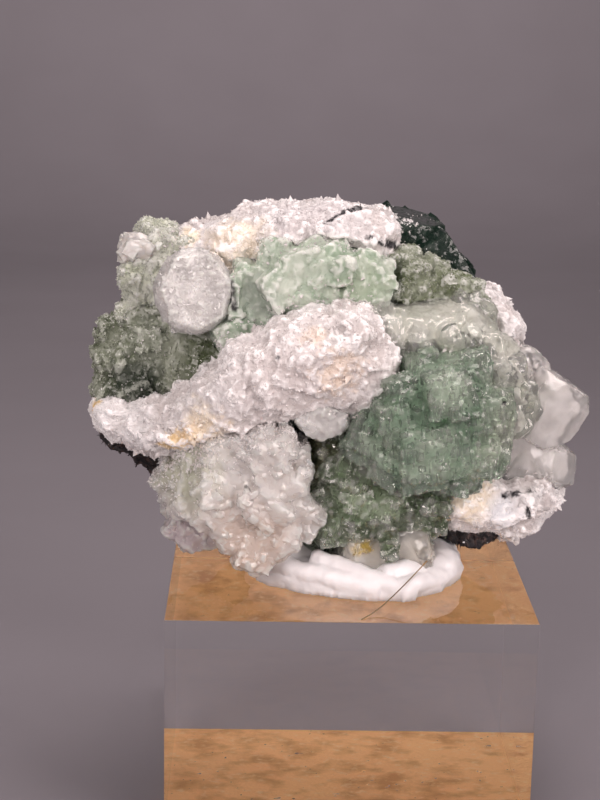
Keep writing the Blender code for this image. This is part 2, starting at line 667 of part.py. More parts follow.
def build_rock(cutters):
    """The dark host rock, which carries everything else."""
    rock = lump_node("host_rock", HOST_ROCK, ROCK_VOXEL, ROCK_FACETS, ROCK_ROUGH, ROCK_SEED)
    cutter = grown_copy(rock)
    fit_between(rock, cutters)
    dress(rock, finish_of("dark_rock", (0.03, 0.025, 0.03), 0.85))
    cutters.append(cutter)


def build_putty(cutters):
    """The white putty under the specimen's foot."""
    putty = lump_node("putty", PUTTY, PUTTY_VOXEL, PUTTY_FACETS)
    flatten_foot(putty)
    cutter = grown_copy(putty)
    fit_between(putty, cutters)
    putty.data.shade_smooth()
    dress(putty, finish_of("white_putty", (0.86, 0.82, 0.82), 0.45))
    cutters.append(cutter)


def build_crust(cutters):
    """The white quartz crust, which fills the room between all the others."""
    crust = lump_node(
        "quartz_crust", QUARTZ_CRUST, CRUST_VOXEL, CRUST_FACETS, CRUST_ROUGH, CRUST_SEED
    )
    raise_points(crust, CRUST_SEED)
    fit_between(crust, cutters)
    dress(crust, finish_of("white_quartz", (0.88, 0.84, 0.84), 0.6))


def gather_pieces():
    """Puts each piece's origin in its middle and hangs all of them on one empty."""
    holder = bpy.data.objects.new("fluorite_specimen", None)
    pieces = [obj for obj in bpy.data.objects if obj.type == "MESH"]
    bpy.context.scene.collection.objects.link(holder)
    for piece in pieces:
        low, high = corners_of(piece)
        middle = (Vector(low) + Vector(high)) / 2
        piece.data.transform(Matrix.Translation(-middle))
        piece.location = middle
        piece.parent = holder


def main():
    """Builds the block with its paper, then the specimen from its crystals to its crust."""
    clear_scene()
    build_base()
    cutters = build_crystals()
    build_rock(cutters)
    build_putty(cutters)
    build_crust(cutters)
    for cutter in cutters:
        bpy.data.objects.remove(cutter)
    gather_pieces()


main()
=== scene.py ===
"""Looks of the fluorite specimen: its crystals, white druse, host rock, putty and clear block."""

import logging
import math
from collections.abc import Callable
from dataclasses import dataclass, replace
from enum import Enum

import bpy
import numpy as np
from mathutils import Euler, Matrix, Vector, noise
from mathutils.bvhtree import BVHTree


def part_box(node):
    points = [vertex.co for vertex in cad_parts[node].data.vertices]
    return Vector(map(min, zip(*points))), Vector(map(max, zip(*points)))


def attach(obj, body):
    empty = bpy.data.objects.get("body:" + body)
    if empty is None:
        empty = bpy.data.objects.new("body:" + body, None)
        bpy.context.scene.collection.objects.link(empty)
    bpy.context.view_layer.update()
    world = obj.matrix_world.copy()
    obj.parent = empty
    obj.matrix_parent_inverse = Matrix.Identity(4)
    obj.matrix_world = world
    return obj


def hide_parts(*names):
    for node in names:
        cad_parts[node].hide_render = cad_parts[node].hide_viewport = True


LOG = logging.getLogger("specimen")
MM = 0.001

Colour = tuple[float, float, float]
Range = tuple[float, float]
Point = tuple[float, float, float]

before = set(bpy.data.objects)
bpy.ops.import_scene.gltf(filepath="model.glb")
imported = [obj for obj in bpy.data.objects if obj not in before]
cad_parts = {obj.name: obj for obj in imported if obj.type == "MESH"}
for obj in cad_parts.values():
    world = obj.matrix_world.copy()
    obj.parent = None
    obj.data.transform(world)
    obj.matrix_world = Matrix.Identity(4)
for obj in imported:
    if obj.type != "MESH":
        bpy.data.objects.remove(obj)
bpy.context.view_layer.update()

# Sizes that the pieces share, in millimetres
BLOCK_TOP = 24.7
BLOCK_FOOT = 0.7
PAPER_SIDE = 40.0
WELD = 0.002
HEART_VOXEL = 0.4

# The size of a heart's lumps in millimetres, and the share of its faces that stay
HEART_LUMPS = 1.6
HEART_KEPT = 0.5

# The seed of the first frost, the others follow it
FROST_SEED = 800


# ----- working with objects -----


def deselect_all() -> None:
    """Leaves nothing selected, so that an operator acts only on what is selected next."""
    for obj in list(bpy.context.selected_objects):
        obj.select_set(False)


def place_new(name: str, data: object) -> bpy.types.Object:
    """Makes a new object in the scene.

    Args:
        name: Its name.
        data: Its mesh, curve, camera or light, or None.

    Returns:
        The object.
    """
    obj = bpy.data.objects.new(name, data)
    bpy.context.scene.collection.objects.link(obj)
    return obj


def take_up(obj: bpy.types.Object) -> None:
    """Makes one object the only selected and the active one.

    Args:
        obj: The object that the next operators act on.
    """
    deselect_all()
    bpy.context.view_layer.objects.active = obj
    obj.select_set(True)


def apply_modifier(obj: bpy.types.Object, kind: str, **settings: object) -> None:
    """Adds a modifier, sets it and applies it.

    Args:
        obj: The object that is changed.
        kind: Blender's name of the modifier type.
        **settings: Values of the modifier's properties.
    """
    take_up(obj)
    modifier = obj.modifiers.new(kind.lower(), kind)
    for key, value in settings.items():
        setattr(modifier, key, value)
    bpy.ops.object.modifier_apply(modifier=modifier.name)


def edit_all(obj: bpy.types.Object) -> None:
    """Opens an object in edit mode with all of it selected.

    Args:
        obj: The object to open.
    """
    take_up(obj)
    bpy.ops.object.mode_set(mode="EDIT")
    bpy.ops.mesh.select_all(action="SELECT")


def close_edit() -> None:
    """Goes back to object mode."""
    bpy.ops.object.mode_set(mode="OBJECT")


def edit_some(obj: bpy.types.Object, kind: str, test: Callable[[object], bool]) -> None:
    """Opens an object in edit mode with some of its parts selected.

    Args:
        obj: The object to open.
        kind: What is selected: "VERT", "EDGE" or "FACE".
        test: Says of one of them whether it is selected.
    """
    edit_all(obj)
    bpy.ops.mesh.select_mode(type=kind)
    bpy.ops.mesh.select_all(action="DESELECT")
    close_edit()
    mesh = obj.data
    for part in {"VERT": mesh.vertices, "EDGE": mesh.edges, "FACE": mesh.polygons}[kind]:
        part.select = test(part)
    bpy.ops.object.mode_set(mode="EDIT")


def add_box(name: str, middle: Vector, size: Vector) -> bpy.types.Object:
    """Adds a box.

    Args:
        name: Its name.
        middle: Its centre, in metres.
        size: Its sides, in metres.

    Returns:
        The box.
    """
    deselect_all()
    bpy.ops.mesh.primitive_cube_add(size=1.0, location=middle)
    box = bpy.context.object
    box.name = name
    box.scale = size
    bpy.ops.object.transform_apply(location=True, scale=True)
    return box


def copy_of_node(node: str, name: str) -> bpy.types.Object:
    """Makes a new object with a welded copy of a CAD node's mesh.

    Args:
        node: The CAD node's name.
        name: The new piece's name.

    Returns:
        The new object.
    """
    obj = place_new(name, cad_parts[node].data.copy())
    obj.data.materials.clear()
    edit_all(obj)
    bpy.ops.mesh.remove_doubles(threshold=WELD * MM)
    close_edit()
    return obj


def join_all(objects: list[bpy.types.Object]) -> bpy.types.Object:
    """Joins objects in the first one.

    Args:
        objects: The objects, of which the first one stays.

    Returns:
        The first object.
    """
    take_up(objects[0])
    for obj in objects[1:]:
        obj.select_set(True)
    bpy.ops.object.join()
    return objects[0]


def triangles_of(obj: bpy.types.Object) -> tuple[np.ndarray, np.ndarray]:
    """Reads a mesh.

    Args:
        obj: The mesh object.

    Returns:
        The corner positions, and the corner numbers of each triangle.
    """
    mesh = obj.data
    mesh.calc_loop_triangles()
    corners = np.zeros(len(mesh.vertices) * 3)
    mesh.vertices.foreach_get("co", corners)
    faces = np.zeros(len(mesh.loop_triangles) * 3, np.int32)
    mesh.loop_triangles.foreach_get("vertices", faces)
    return corners.reshape(-1, 3), faces.reshape(-1, 3)


def mesh_from(name: str, corners: np.ndarray, faces: np.ndarray) -> bpy.types.Mesh:
    """Makes a mesh of triangles.

    Args:
        name: The mesh's name.
        corners: The corner positions.
        faces: The corner numbers of each triangle.

    Returns:
        The mesh.
    """
    mesh = bpy.data.meshes.new(name)
    mesh.vertices.add(len(corners))
    mesh.vertices.foreach_set("co", corners.astype(np.float32).ravel())
    mesh.loops.add(faces.size)
    mesh.loops.foreach_set("vertex_index", faces.astype(np.int32).ravel())
    mesh.polygons.add(len(faces))
    mesh.polygons.foreach_set("loop_start", np.arange(0, faces.size, 3, dtype=np.int32))
    mesh.update(calc_edges=True)
    mesh.shade_flat()
    return mesh


# ----- relief of a surface -----


# The crest value of a flat place, and how fast it changes with height
CREST_MIDDLE = 0.5
CREST_GAIN = 2.0


class Relief(Enum):
    """The kinds of unevenness that a surface can have."""

    LUMPS = ("CLOUDS", "ORIGINAL_PERLIN")
    BLOCKS = ("CLOUDS", "CELL_NOISE")
    CRACKLE = ("CLOUDS", "VORONOI_CRACKLE")
    PEAKS = ("CLOUDS", "VORONOI_F1")
    FOLDS = ("MARBLE", "ORIGINAL_PERLIN")


@dataclass(frozen=True)
class Uneven:
    """One layer of unevenness: its kind, the size of its features and its height, in mm."""

    kind: Relief
    size: float
    height: float
    turn: Point = (0.0, 0.0, 0.0)
    middle: float = 0.5
    stretch: float = 1.0

    def press_into(self, obj: bpy.types.Object) -> None:
        """Moves the surface in and out.

        Args:
            obj: The object whose surface gets this layer.
        """
        texture_type, basis = self.kind.value
        texture = bpy.data.textures.new(f"{obj.name}_relief", texture_type)
        texture.noise_scale = self.size * MM
        texture.noise_basis = basis
        if texture_type == "MARBLE":
            texture.turbulence = 4.0
            texture.marble_type = "SOFT"
        else:
            texture.noise_depth = 1 if self.kind is Relief.BLOCKS else 2
        guide = place_new("guide", None)
        guide.rotation_euler = [math.radians(angle) for angle in self.turn]
        guide.scale.z = self.stretch
        bpy.context.view_layer.update()
        apply_modifier(
            obj, "DISPLACE", texture=texture, texture_coords="OBJECT", texture_coords_object=guide,
            strength=self.height * MM, mid_level=self.middle,
        )
        bpy.data.objects.remove(guide)
        bpy.data.textures.remove(texture)


def roughen(
    body: bpy.types.Object, swell: float, voxel: float, layers: tuple[Uneven, ...], kept: float,
    lumps: tuple[bpy.types.Object, ...] = (),
) -> None:
    """Gives a faceted body its fine relief.

    Args:
        body: The body.
        swell: How far it grows first, in millimetres.
        voxel: The size of its new faces, in millimetres.
        layers: The unevenness, the coarsest first.
        kept: The share of the faces that stay.
        lumps: What melts together with it.
    """
    apply_modifier(body, "DISPLACE", strength=swell * MM, mid_level=0.0)
    if lumps:
        join_all([body, *lumps])
    apply_modifier(body, "REMESH", mode="VOXEL", voxel_size=voxel * MM)
    for layer in layers:
        layer.press_into(body)
    apply_modifier(body, "DECIMATE", ratio=kept)


def mark_crests(obj: bpy.types.Object) -> None:
    """Writes how far each corner stands out of its neighbours, as the attribute "crest".

    Args:
        obj: The mesh object. A flat place gets 0.5, a sharp crest 1 and a deep crease 0.
    """
    mesh = obj.data
    n = len(mesh.vertices)
    place, normal = np.zeros(n * 3), np.zeros(n * 3)
    mesh.vertices.foreach_get("co", place)
    mesh.vertices.foreach_get("normal", normal)
    place, normal = place.reshape(-1, 3), normal.reshape(-1, 3)
    edges = np.zeros(len(mesh.edges) * 2, np.int32)
    mesh.edges.foreach_get("vertices", edges)
    first, second = edges.reshape(-1, 2).T
    around = np.maximum(np.bincount(edges, minlength=n), 1)

    def mean_of_neighbours(values: np.ndarray) -> np.ndarray:
        """Averages a value over the neighbours of each corner."""
        total = np.bincount(first, values[second], n) + np.bincount(second, values[first], n)
        return total / around

    middle = np.stack([mean_of_neighbours(place[:, k]) for k in range(3)], axis=1)
    reach = np.linalg.norm(place[first] - place[second], axis=1).mean()
    height = ((place - middle) * normal).sum(1) / reach
    height = 0.5 * height + 0.5 * mean_of_neighbours(height)
    crest = mesh.attributes.new("crest", "FLOAT", "POINT")
    value = np.clip(CREST_MIDDLE + CREST_GAIN * height, 0.0, 1.0)
    crest.data.foreach_set("value", value.astype(np.float32))


# ----- small crystals, modelled once and copied -----


class Shape(Enum):
    """The small shapes that are copied over a surface."""

    GRAIN = "grain"
    POINT = "point"
    BLOCK = "block"
    NEEDLE = "needle"


class ShapeBox:
    """Models each small shape once and keeps its mesh."""

    def __init__(self) -> None:
        """Models the four shapes."""
        self.meshes = {
            Shape.GRAIN: self._spindle(0.35), Shape.NEEDLE: self._spindle(0.2),
            Shape.POINT: self._prism(), Shape.BLOCK: self._block(),
        }

    def _keep(self) -> tuple[np.ndarray, np.ndarray]:
        """Takes the active object's mesh out of the scene.

        Returns:
            Its corner positions and triangles.
        """
        obj = bpy.context.object
        corners, faces = triangles_of(obj)
        bpy.data.objects.remove(obj)
        return corners, faces

    def _poke(self, up: float, height: float) -> None:
        """Raises a pyramid on the flat end of the active object.

        Args:
            up: 1 for the upper end, -1 for the lower end.
            height: How far the tip stands out.
        """
        edit_some(bpy.context.object, "FACE", lambda face: face.normal.z * up > 0.9)
        bpy.ops.mesh.poke(offset=height)
        close_edit()

    def _spindle(self, foot: float) -> tuple:
        """Models a pointed four-sided grain, closed by a blunt point below.

        Args:
            foot: The length of its lower part, as a share of the upper part.

        Returns:
            Its corner positions and triangles.
        """
        deselect_all()
        bpy.ops.mesh.primitive_cone_add(
            vertices=4, radius1=1.0, radius2=0.0, depth=1.0, location=(0, 0, 0.5)
        )
        bpy.ops.object.transform_apply(location=True)
        self._poke(-1.0, foot)
        return self._keep()

    def _prism(self) -> tuple:
        """Models a six-sided crystal with a pointed end.

        Returns:
            Its corner positions and triangles.
        """
        deselect_all()
        bpy.ops.mesh.primitive_cylinder_add(vertices=6, radius=1.0, depth=0.75)
        bpy.ops.object.transform_apply(location=True)
        self._poke(1.0, 0.55)
        self._poke(-1.0, 0.2)
        return self._keep()

    def _block(self) -> tuple:
        """Models a block with one corner cut off.

        Returns:
            Its corner positions and triangles.
        """
        deselect_all()
        bpy.ops.mesh.primitive_cube_add(size=2.0)
        edit_some(bpy.context.object, "VERT", lambda corner: min(corner.co) > 0)
        bpy.ops.mesh.bevel(offset=0.7, affect="VERTICES")
        close_edit()
        return self._keep()


SHAPES = ShapeBox()


TREES: dict[tuple[str, ...], BVHTree] = {}

# How far off the surface the search for a neighbour in front starts, in millimetres
RAY_START = 0.02
# How fast a cover thins out with the distance from the piece beside it
THINNING = 1.5
# How much of a patchy cover lies between its patches, and how sharply they start
PATCH_BASE = 0.25
PATCH_GAIN = 2.2
# A small crystal's second width, as a share of the first
FLATNESS = (0.7, 1.2)


def tree_of(names: list[str]) -> BVHTree:
    """Gathers CAD nodes in one tree of triangles, made once.

    Args:
        names: The CAD nodes.

    Returns:
        The tree.
    """
    key = tuple(names)
    if key in TREES:
        return TREES[key]
    corners: list = []
    faces: list = []
    for name in names:
        points, triangles = triangles_of(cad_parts[name])
        faces += (triangles + len(corners)).tolist()
        corners += points.tolist()
    TREES[key] = BVHTree.FromPolygons(corners, faces)
    return TREES[key]


def obstacles(own: str) -> BVHTree:
    """Gathers all CAD nodes but one, to find out what lies hidden against them.

    Args:
        own: The CAD node that is left out.

    Returns:
        A tree of their triangles.
    """
    left_out = (own, "acrylic_block", "backing_paper")
    return tree_of([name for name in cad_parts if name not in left_out])


@dataclass(frozen=True)
class Cover:
    """A cover of small crystals over a surface. Lengths are in millimetres."""

    shape: Shape
    count: int
    width: Range
    length: Range
    lean: float
    seed: int
    sink: float = 0.25
    bias: float = 2.0
    clear_of: float = 1.2
    turn: Point | None = None
    proud: Range = (0.05, 0.35)
    beside: tuple[str, float] | None = None
    patches: float = 0.0
    zone: tuple[Point, float] | None = None

    def _weights(self, middle: np.ndarray, area: np.ndarray) -> np.ndarray:
        """Says how much of the cover each triangle gets.

        Args:
            middle: The triangles' centres.
            area: Their areas.

        Returns:
            The share of each triangle.
        """
        weight = area.copy()
        if self.zone:
            gap = np.linalg.norm(middle - np.array(self.zone[0]) * MM, axis=1)
            weight *= gap < self.zone[1] * MM
        if self.beside:
            node, reach = self.beside
            tree = tree_of([node])
            for k, point in enumerate(middle):
                gap = tree.find_nearest(Vector(point), reach * MM)[3]
                weight[k] *= 0.0 if gap is None else (1.0 - gap / (reach * MM)) ** THINNING
        if self.patches:
            for k, point in enumerate(middle):
                cloud = noise.noise(Vector(point) / (self.patches * MM) + Vector((self.seed, 0, 0)))
                weight[k] *= max(0.0, PATCH_BASE + PATCH_GAIN * cloud) ** 2
        return weight / weight.sum()

    def _places(self, obj: bpy.types.Object, rng: np.random.Generator) -> tuple:
        """Picks places all over a surface.

        Args:
            obj: The object whose surface is covered.
            rng: The source of chance.

        Returns:
            The positions and the normals there.
        """
        corners, faces = triangles_of(obj)
        a, b, c = (corners[faces[:, k]] for k in range(3))
        normal = np.cross(b - a, c - a)
        area = np.linalg.norm(normal, axis=1)
        weight = self._weights((a + b + c) / 3, area)
        pick = rng.choice(len(faces), self.count, p=weight)
        u = np.sqrt(rng.random(self.count))[:, None]
        v = rng.random(self.count)[:, None]
        place = a[pick] * (1 - u) + b[pick] * u * (1 - v) + c[pick] * u * v
        unit = normal[pick] / np.maximum(area[pick], 1e-20)[:, None]
        return place, unit

    def _shown(self, place: np.ndarray, unit: np.ndarray, tree: BVHTree) -> np.ndarray:
        """Finds the places with nothing close in front of them.

        Args:
            place: The positions.
            unit: The normals.
            tree: What may lie in front.

        Returns:
            True for each place that shows.
        """
        shown = np.ones(len(place), bool)
        for k, (point, normal) in enumerate(zip(place, unit)):
            direction = Vector(normal)
            start = Vector(point) + direction * RAY_START * MM
            hit = tree.ray_cast(start, direction, self.clear_of * MM)
            shown[k] = hit[0] is None
        return shown

    def _axes(self, unit: np.ndarray, rng: np.random.Generator) -> tuple:
        """Turns each small crystal, either off the surface or all nearly the same way.

        Args:
            unit: The normals.
            rng: The source of chance.

        Returns:
            The three directions of each crystal, its own length last.
        """
        n = len(unit)
        if self.turn is None:
            axis = unit + rng.normal(0.0, self.lean, (n, 3))
            aside = np.cross(axis, rng.normal(size=(n, 3)))
        else:
            frame = np.array(Euler([math.radians(a) for a in self.turn]).to_matrix())
            axis = frame[:, 2] + rng.normal(0.0, self.lean, (n, 3))
            aside = frame[:, 0] + rng.normal(0.0, self.lean, (n, 3))
            aside = np.cross(axis, aside)
        axis = axis / np.linalg.norm(axis, axis=1)[:, None]
        aside = aside / np.linalg.norm(aside, axis=1)[:, None]
        return aside, np.cross(axis, aside), axis

    def build(self, obj: bpy.types.Object, name: str, tree: BVHTree) -> bpy.types.Object:
        """Covers a surface with copies of the small shape, joined in one mesh.

        Args:
            obj: The object whose surface is covered.
            name: The new object's name.
            tree: What hides parts of the surface.

        Returns:
            The new object.
        """
        rng = np.random.default_rng(self.seed)
        place, unit = self._places(obj, rng)
        shown = self._shown(place, unit, tree)
        place, unit = place[shown], unit[shown]
        n = len(place)
        aside, third, axis = self._axes(unit, rng)
        share = rng.random(n) ** self.bias
        width = (self.width[0] + (self.width[1] - self.width[0]) * share) * MM
        other = rng.random(n) ** self.bias if self.turn else share
        length = (self.length[0] + (self.length[1] - self.length[0]) * other) * MM
        width2 = width * rng.uniform(*FLATNESS, n)
        if self.turn is None:
            start = place - axis * (length * self.sink)[:, None]
        else:
            reach = width * np.abs((unit * aside).sum(1)) + width2 * np.abs((unit * third).sum(1))
            reach += length * np.abs((unit * axis).sum(1))
            proud = rng.uniform(*self.proud, n) * MM
            start = place - unit * (reach - proud)[:, None]
        shape_corners, shape_faces = SHAPES.meshes[self.shape]
        x, y, z = (shape_corners[:, k][None, :, None] for k in range(3))
        corners = start[:, None, :] + x * (aside * width[:, None])[:, None, :]
        corners = corners + y * (third * width2[:, None])[:, None, :]
        corners = corners + z * (axis * length[:, None])[:, None, :]
        steps = (np.arange(n) * len(shape_corners))[:, None, None]
        faces = (shape_faces[None] + steps).reshape(-1, 3)
        mesh = mesh_from(name, corners.reshape(-1, 3), faces)
        values = np.repeat(rng.random(n), len(shape_corners)).astype(np.float32)
        for key, share in (("tone", values), ("crest", CREST_MIDDLE + 0.2 * values**2)):
            mesh.attributes.new(key, "FLOAT", "POINT").data.foreach_set("value", share)
        return place_new(name, mesh)


# ----- shader node groups -----


class NodeGroups:
    """Shader node groups that several finishes share."""

    def __init__(self) -> None:
        """Builds the groups."""
        self.spot = self._build_spot()
        self.grain = self._build_grain()

    def _new(self, name: str, inputs: dict[str, float | None], outputs: list[str]) -> tuple:
        """Starts a group.

        Args:
            name: Its name.
            inputs: Input names with their default values, None for a vector.
            outputs: Output names, all plain values.

        Returns:
            The tree, its input node and its output node.
        """
        tree = bpy.data.node_groups.new(name, "ShaderNodeTree")
        for key, value in inputs.items():
            kind = "NodeSocketVector" if value is None else "NodeSocketFloat"
            socket = tree.interface.new_socket(key, in_out="INPUT", socket_type=kind)
            if value is not None:
                socket.default_value = value
        for key in outputs:
            tree.interface.new_socket(key, in_out="OUTPUT", socket_type="NodeSocketFloat")
        return tree, tree.nodes.new("NodeGroupInput"), tree.nodes.new("NodeGroupOutput")

    def _build_spot(self) -> bpy.types.NodeTree:
        """A soft, ragged spot round a place, or a ragged line from there along a way.

        Returns:
            The group.
        """
        inputs = {"Centre": None, "Along": None, "Radius": 0.003, "Ragged": 0.5, "Size": 900.0}
        tree, entry, leave = self._new("ragged_spot", inputs, ["Mask"])
        where = tree.nodes.new("ShaderNodeTexCoord").outputs["Object"]

        def node(kind: str, operation: str, *sources: object) -> bpy.types.Node:
            """Adds a math node.

            Args:
                kind: Blender's name of the node type.
                operation: What the node works out.
                *sources: A number or a socket for each input.

            Returns:
                The node.
            """
            made = tree.nodes.new(kind)
            made.operation = operation
            for socket, source in zip(made.inputs, sources):
                if isinstance(source, float):
                    socket.default_value = source
                else:
                    tree.links.new(source, socket)
            return made

        def vector(operation: str, *sources: object) -> object:
            """Adds a vector math node and gives the output that is in use."""
            made = node("ShaderNodeVectorMath", operation, *sources)
            return made.outputs["Vector" if operation == "SUBTRACT" else "Value"]

        def number(operation: str, *sources: object) -> object:
            """Adds a math node and gives its output."""
            return node("ShaderNodeMath", operation, *sources).outputs[0]

        along = entry.outputs["Along"]
        apart = vector("SUBTRACT", where, entry.outputs["Centre"])
        part = node(
            "ShaderNodeMath", "DIVIDE", vector("DOT_PRODUCT", apart, along),
            vector("DOT_PRODUCT", along, along),
        )
        part.use_clamp = True
        foot = node("ShaderNodeVectorMath", "SCALE", along)
        tree.links.new(part.outputs[0], foot.inputs["Scale"])
        gap = vector("DISTANCE", apart, foot.outputs["Vector"])
        share = number("DIVIDE", gap, entry.outputs["Radius"])
        cloud = tree.nodes.new("ShaderNodeTexNoise")
        cloud.inputs["Detail"].default_value = 4.0
        tree.links.new(where, cloud.inputs["Vector"])
        tree.links.new(entry.outputs["Size"], cloud.inputs["Scale"])
        swing = number("SUBTRACT", cloud.outputs["Fac"], 0.5)
        more = number("MULTIPLY_ADD", swing, entry.outputs["Ragged"], share)
        soft = tree.nodes.new("ShaderNodeMapRange")
        soft.interpolation_type = "SMOOTHSTEP"
        for key, value in (("From Min", 0.3), ("To Min", 1.0), ("To Max", 0.0)):
            soft.inputs[key].default_value = value
        tree.links.new(more, soft.inputs["Value"])
        tree.links.new(soft.outputs["Result"], leave.inputs["Mask"])
        return tree

    def _build_grain(self) -> bpy.types.NodeTree:
        """Fine unevenness in two sizes, as a mask and as a height.

        Returns:
            The group.
        """
        inputs = {"Coarse": 400.0, "Fine": 2500.0, "Share": 0.5}
        tree, entry, leave = self._new("crystal_grain", inputs, ["Mask", "Height"])
        nodes, link = tree.nodes, tree.links.new
        where = nodes.new("ShaderNodeTexCoord")
        coarse = nodes.new("ShaderNodeTexNoise")
        coarse.inputs["Detail"].default_value = 5.0
        link(where.outputs["Object"], coarse.inputs["Vector"])
        link(entry.outputs["Coarse"], coarse.inputs["Scale"])
        fine = nodes.new("ShaderNodeTexVoronoi")
        fine.distance = "CHEBYCHEV"
        link(where.outputs["Object"], fine.inputs["Vector"])
        link(entry.outputs["Fine"], fine.inputs["Scale"])
        blend = nodes.new("ShaderNodeMix")
        link(entry.outputs["Share"], blend.inputs["Factor"])
        link(coarse.outputs["Fac"], blend.inputs["A"])
        link(fine.outputs["Distance"], blend.inputs["B"])
        link(coarse.outputs["Fac"], leave.inputs["Mask"])
        link(blend.outputs["Result"], leave.inputs["Height"])
        return tree


GROUPS = NodeGroups()


def fill(node: bpy.types.Node, **values: object) -> bpy.types.Node:
    """Sets plain values of a node.

    Args:
        node: The node.
        **values: Its inputs, with _ for a space, and their values.

    Returns:
        The node.
    """
    for key, value in values.items():
        node.inputs[key.replace("_", " ")].default_value = value
    return node


class Palette:
    """A material's node tree, with short ways to add nodes to it."""

    def __init__(self, name: str) -> None:
        """Starts a material with a Principled shader.

        Args:
            name: The material's name.
        """
        self.material = bpy.data.materials.new(name)
        self.material.use_nodes = True
        self.nodes = self.material.node_tree.nodes
        self.link = self.material.node_tree.links.new
        self.shader = self.nodes["Principled BSDF"]

    def plain(self, **values: object) -> None:
        """Sets plain values of the shader."""
        fill(self.shader, **values)

    def node(self, kind: str, **settings: object) -> bpy.types.Node:
        """Adds a node.

        Args:
            kind: Blender's name of the node type.
            **settings: Values of the node's properties.

        Returns:
            The node.
        """
        made = self.nodes.new(kind)
        for key, value in settings.items():
            setattr(made, key, value)
        return made

    def group(self, tree: bpy.types.NodeTree, **values: object) -> bpy.types.Node:
        """Places a node group with its own values and gives its node."""
        return fill(self.node("ShaderNodeGroup", node_tree=tree), **values)

    def attribute(self, name: str) -> object:
        """Gives the socket of a value that the mesh carries."""
        return self.node("ShaderNodeAttribute", attribute_name=name).outputs["Fac"]

    def mix(self, mask: object, first: object, second: Colour) -> object:
        """Mixes two colours.

        Args:
            mask: The socket with the share of the second colour.
            first: The first colour, or the socket that gives it.
            second: The second colour.

        Returns:
            The socket with the mixed colour.
        """
        made = self.node("ShaderNodeMix", data_type="RGBA")
        self.link(mask, made.inputs["Factor"])
        if isinstance(first, tuple):
            made.inputs["A"].default_value = (*first, 1.0)
        else:
            self.link(first, made.inputs["A"])
        made.inputs["B"].default_value = (*second, 1.0)
        return made.outputs["Result"]

    def ramp(self, value: object, low: float, high: float, to: Range) -> object:
        """Stretches a value to another range.

        Args:
            value: The socket with the value.
            low: The value that gives the first end of the range.
            high: The value that gives the other end.
            to: The range.

        Returns:
            The socket with the new value.
        """
        made = self.node("ShaderNodeMapRange")
        fill(made, From_Min=low, From_Max=high, To_Min=to[0], To_Max=to[1])
        self.link(value, made.inputs["Value"])
        return made.outputs["Result"]

    def tint(
        self, value: object, low: float, high: float, most: float, below: object, over: Colour
    ) -> object:
        """Lays a colour over another where a value is high, or low where high is below low.

        Args:
            value: The socket with the value.
            low: The value up to which nothing of it shows.
            high: The value from which it shows most.
            most: How much of it shows there.
            below: The colour under it, or the socket that gives it.
            over: The colour.

        Returns:
            The socket with the new colour.
        """
        return self.mix(self.ramp(value, low, high, (0.0, most)), below, over)

    def noise(
        self, scale: float, detail: float = 3.0, stretch: Point = (1.0, 1.0, 1.0),
        turn: float = 0.0,
    ) -> object:
        """Adds noise over the object.

        Args:
            scale: Its scale per metre.
            detail: How many finer layers it has.
            stretch: A share of the scale along each axis.
            turn: How it is turned round the upright axis, in radians.

        Returns:
            The socket with the noise.
        """
        where = self.node("ShaderNodeTexCoord")
        made = fill(self.node("ShaderNodeTexNoise"), Scale=scale, Detail=detail)
        way = fill(self.node("ShaderNodeMapping"), Scale=stretch, Rotation=(0.0, 0.0, turn))
        self.link(where.outputs["Object"], way.inputs["Vector"])
        self.link(way.outputs["Vector"], made.inputs["Vector"])
        return made.outputs["Fac"]

    def colour(self, colour: object) -> None:
        """Gives the shader its colour."""
        self.link(colour, self.shader.inputs["Base Color"])

    def rough(self, value: object, low: float, high: float, to: Range) -> None:
        """Gives the shader a roughness that changes with a value, as ramp does."""
        self.link(self.ramp(value, low, high, to), self.shader.inputs["Roughness"])

    def bump(self, height: object, strength: float, distance: float) -> None:
        """Gives the shader fine unevenness.

        Args:
            height: The socket with the height.
            strength: How strong it is, from 0 to 1.
            distance: Its height in metres.
        """
        made = fill(self.node("ShaderNodeBump"), Strength=strength, Distance=distance)
        self.link(height, made.inputs["Height"])
        self.link(made.outputs["Normal"], self.shader.inputs["Normal"])

    def absorb(self, colour: Colour, density: float) -> None:
        """Lets the body of the piece take up light on the way through.

        Args:
            colour: The colour that is left.
            density: How much is taken up per metre.
        """
        made = fill(self.node("ShaderNodeVolumeAbsorption"), Color=(*colour, 1.0), Density=density)
        self.link(made.outputs["Volume"], self.nodes["Material Output"].inputs["Volume"])

    def milk(self, weight: float, reach: float, radius: Point) -> None:
        """Lets light soak into the surface.

        Args:
            weight: How much of it.
            reach: How deep, in metres.
            radius: The share of the depth for red, green and blue.
        """
        self.plain(Subsurface_Weight=weight, Subsurface_Scale=reach, Subsurface_Radius=radius)


@dataclass(frozen=True)
class ColourSpot:
    """A spot or a line: where it is in millimetres, how large, and its colour."""

    centre: Point
    radius: float
    colour: Colour
    ragged: float = 0.6
    size: float = 900.0
    strength: float = 1.0
    end: Point | None = None

    def lay_on(self, palette: Palette, below: object) -> object:
        """Mixes the spot over a colour.

        Args:
            palette: The material that gets the spot.
            below: The colour under it.

        Returns:
            The socket with the new colour.
        """
        end = self.end or self.centre
        mask = palette.group(
            GROUPS.spot, Centre=[value * MM for value in self.centre],
            Along=[(b - a) * MM for a, b in zip(self.centre, end)], Radius=self.radius * MM,
            Ragged=self.ragged, Size=self.size,
        )
        return palette.tint(mask.outputs["Mask"], 0.0, 1.0, self.strength, below, self.colour)


# ----- finishes -----

FLUORITE_IOR = 1.434
CALCITE_IOR = 1.56
QUARTZ_IOR = 1.54
ACRYLIC_IOR = 1.49


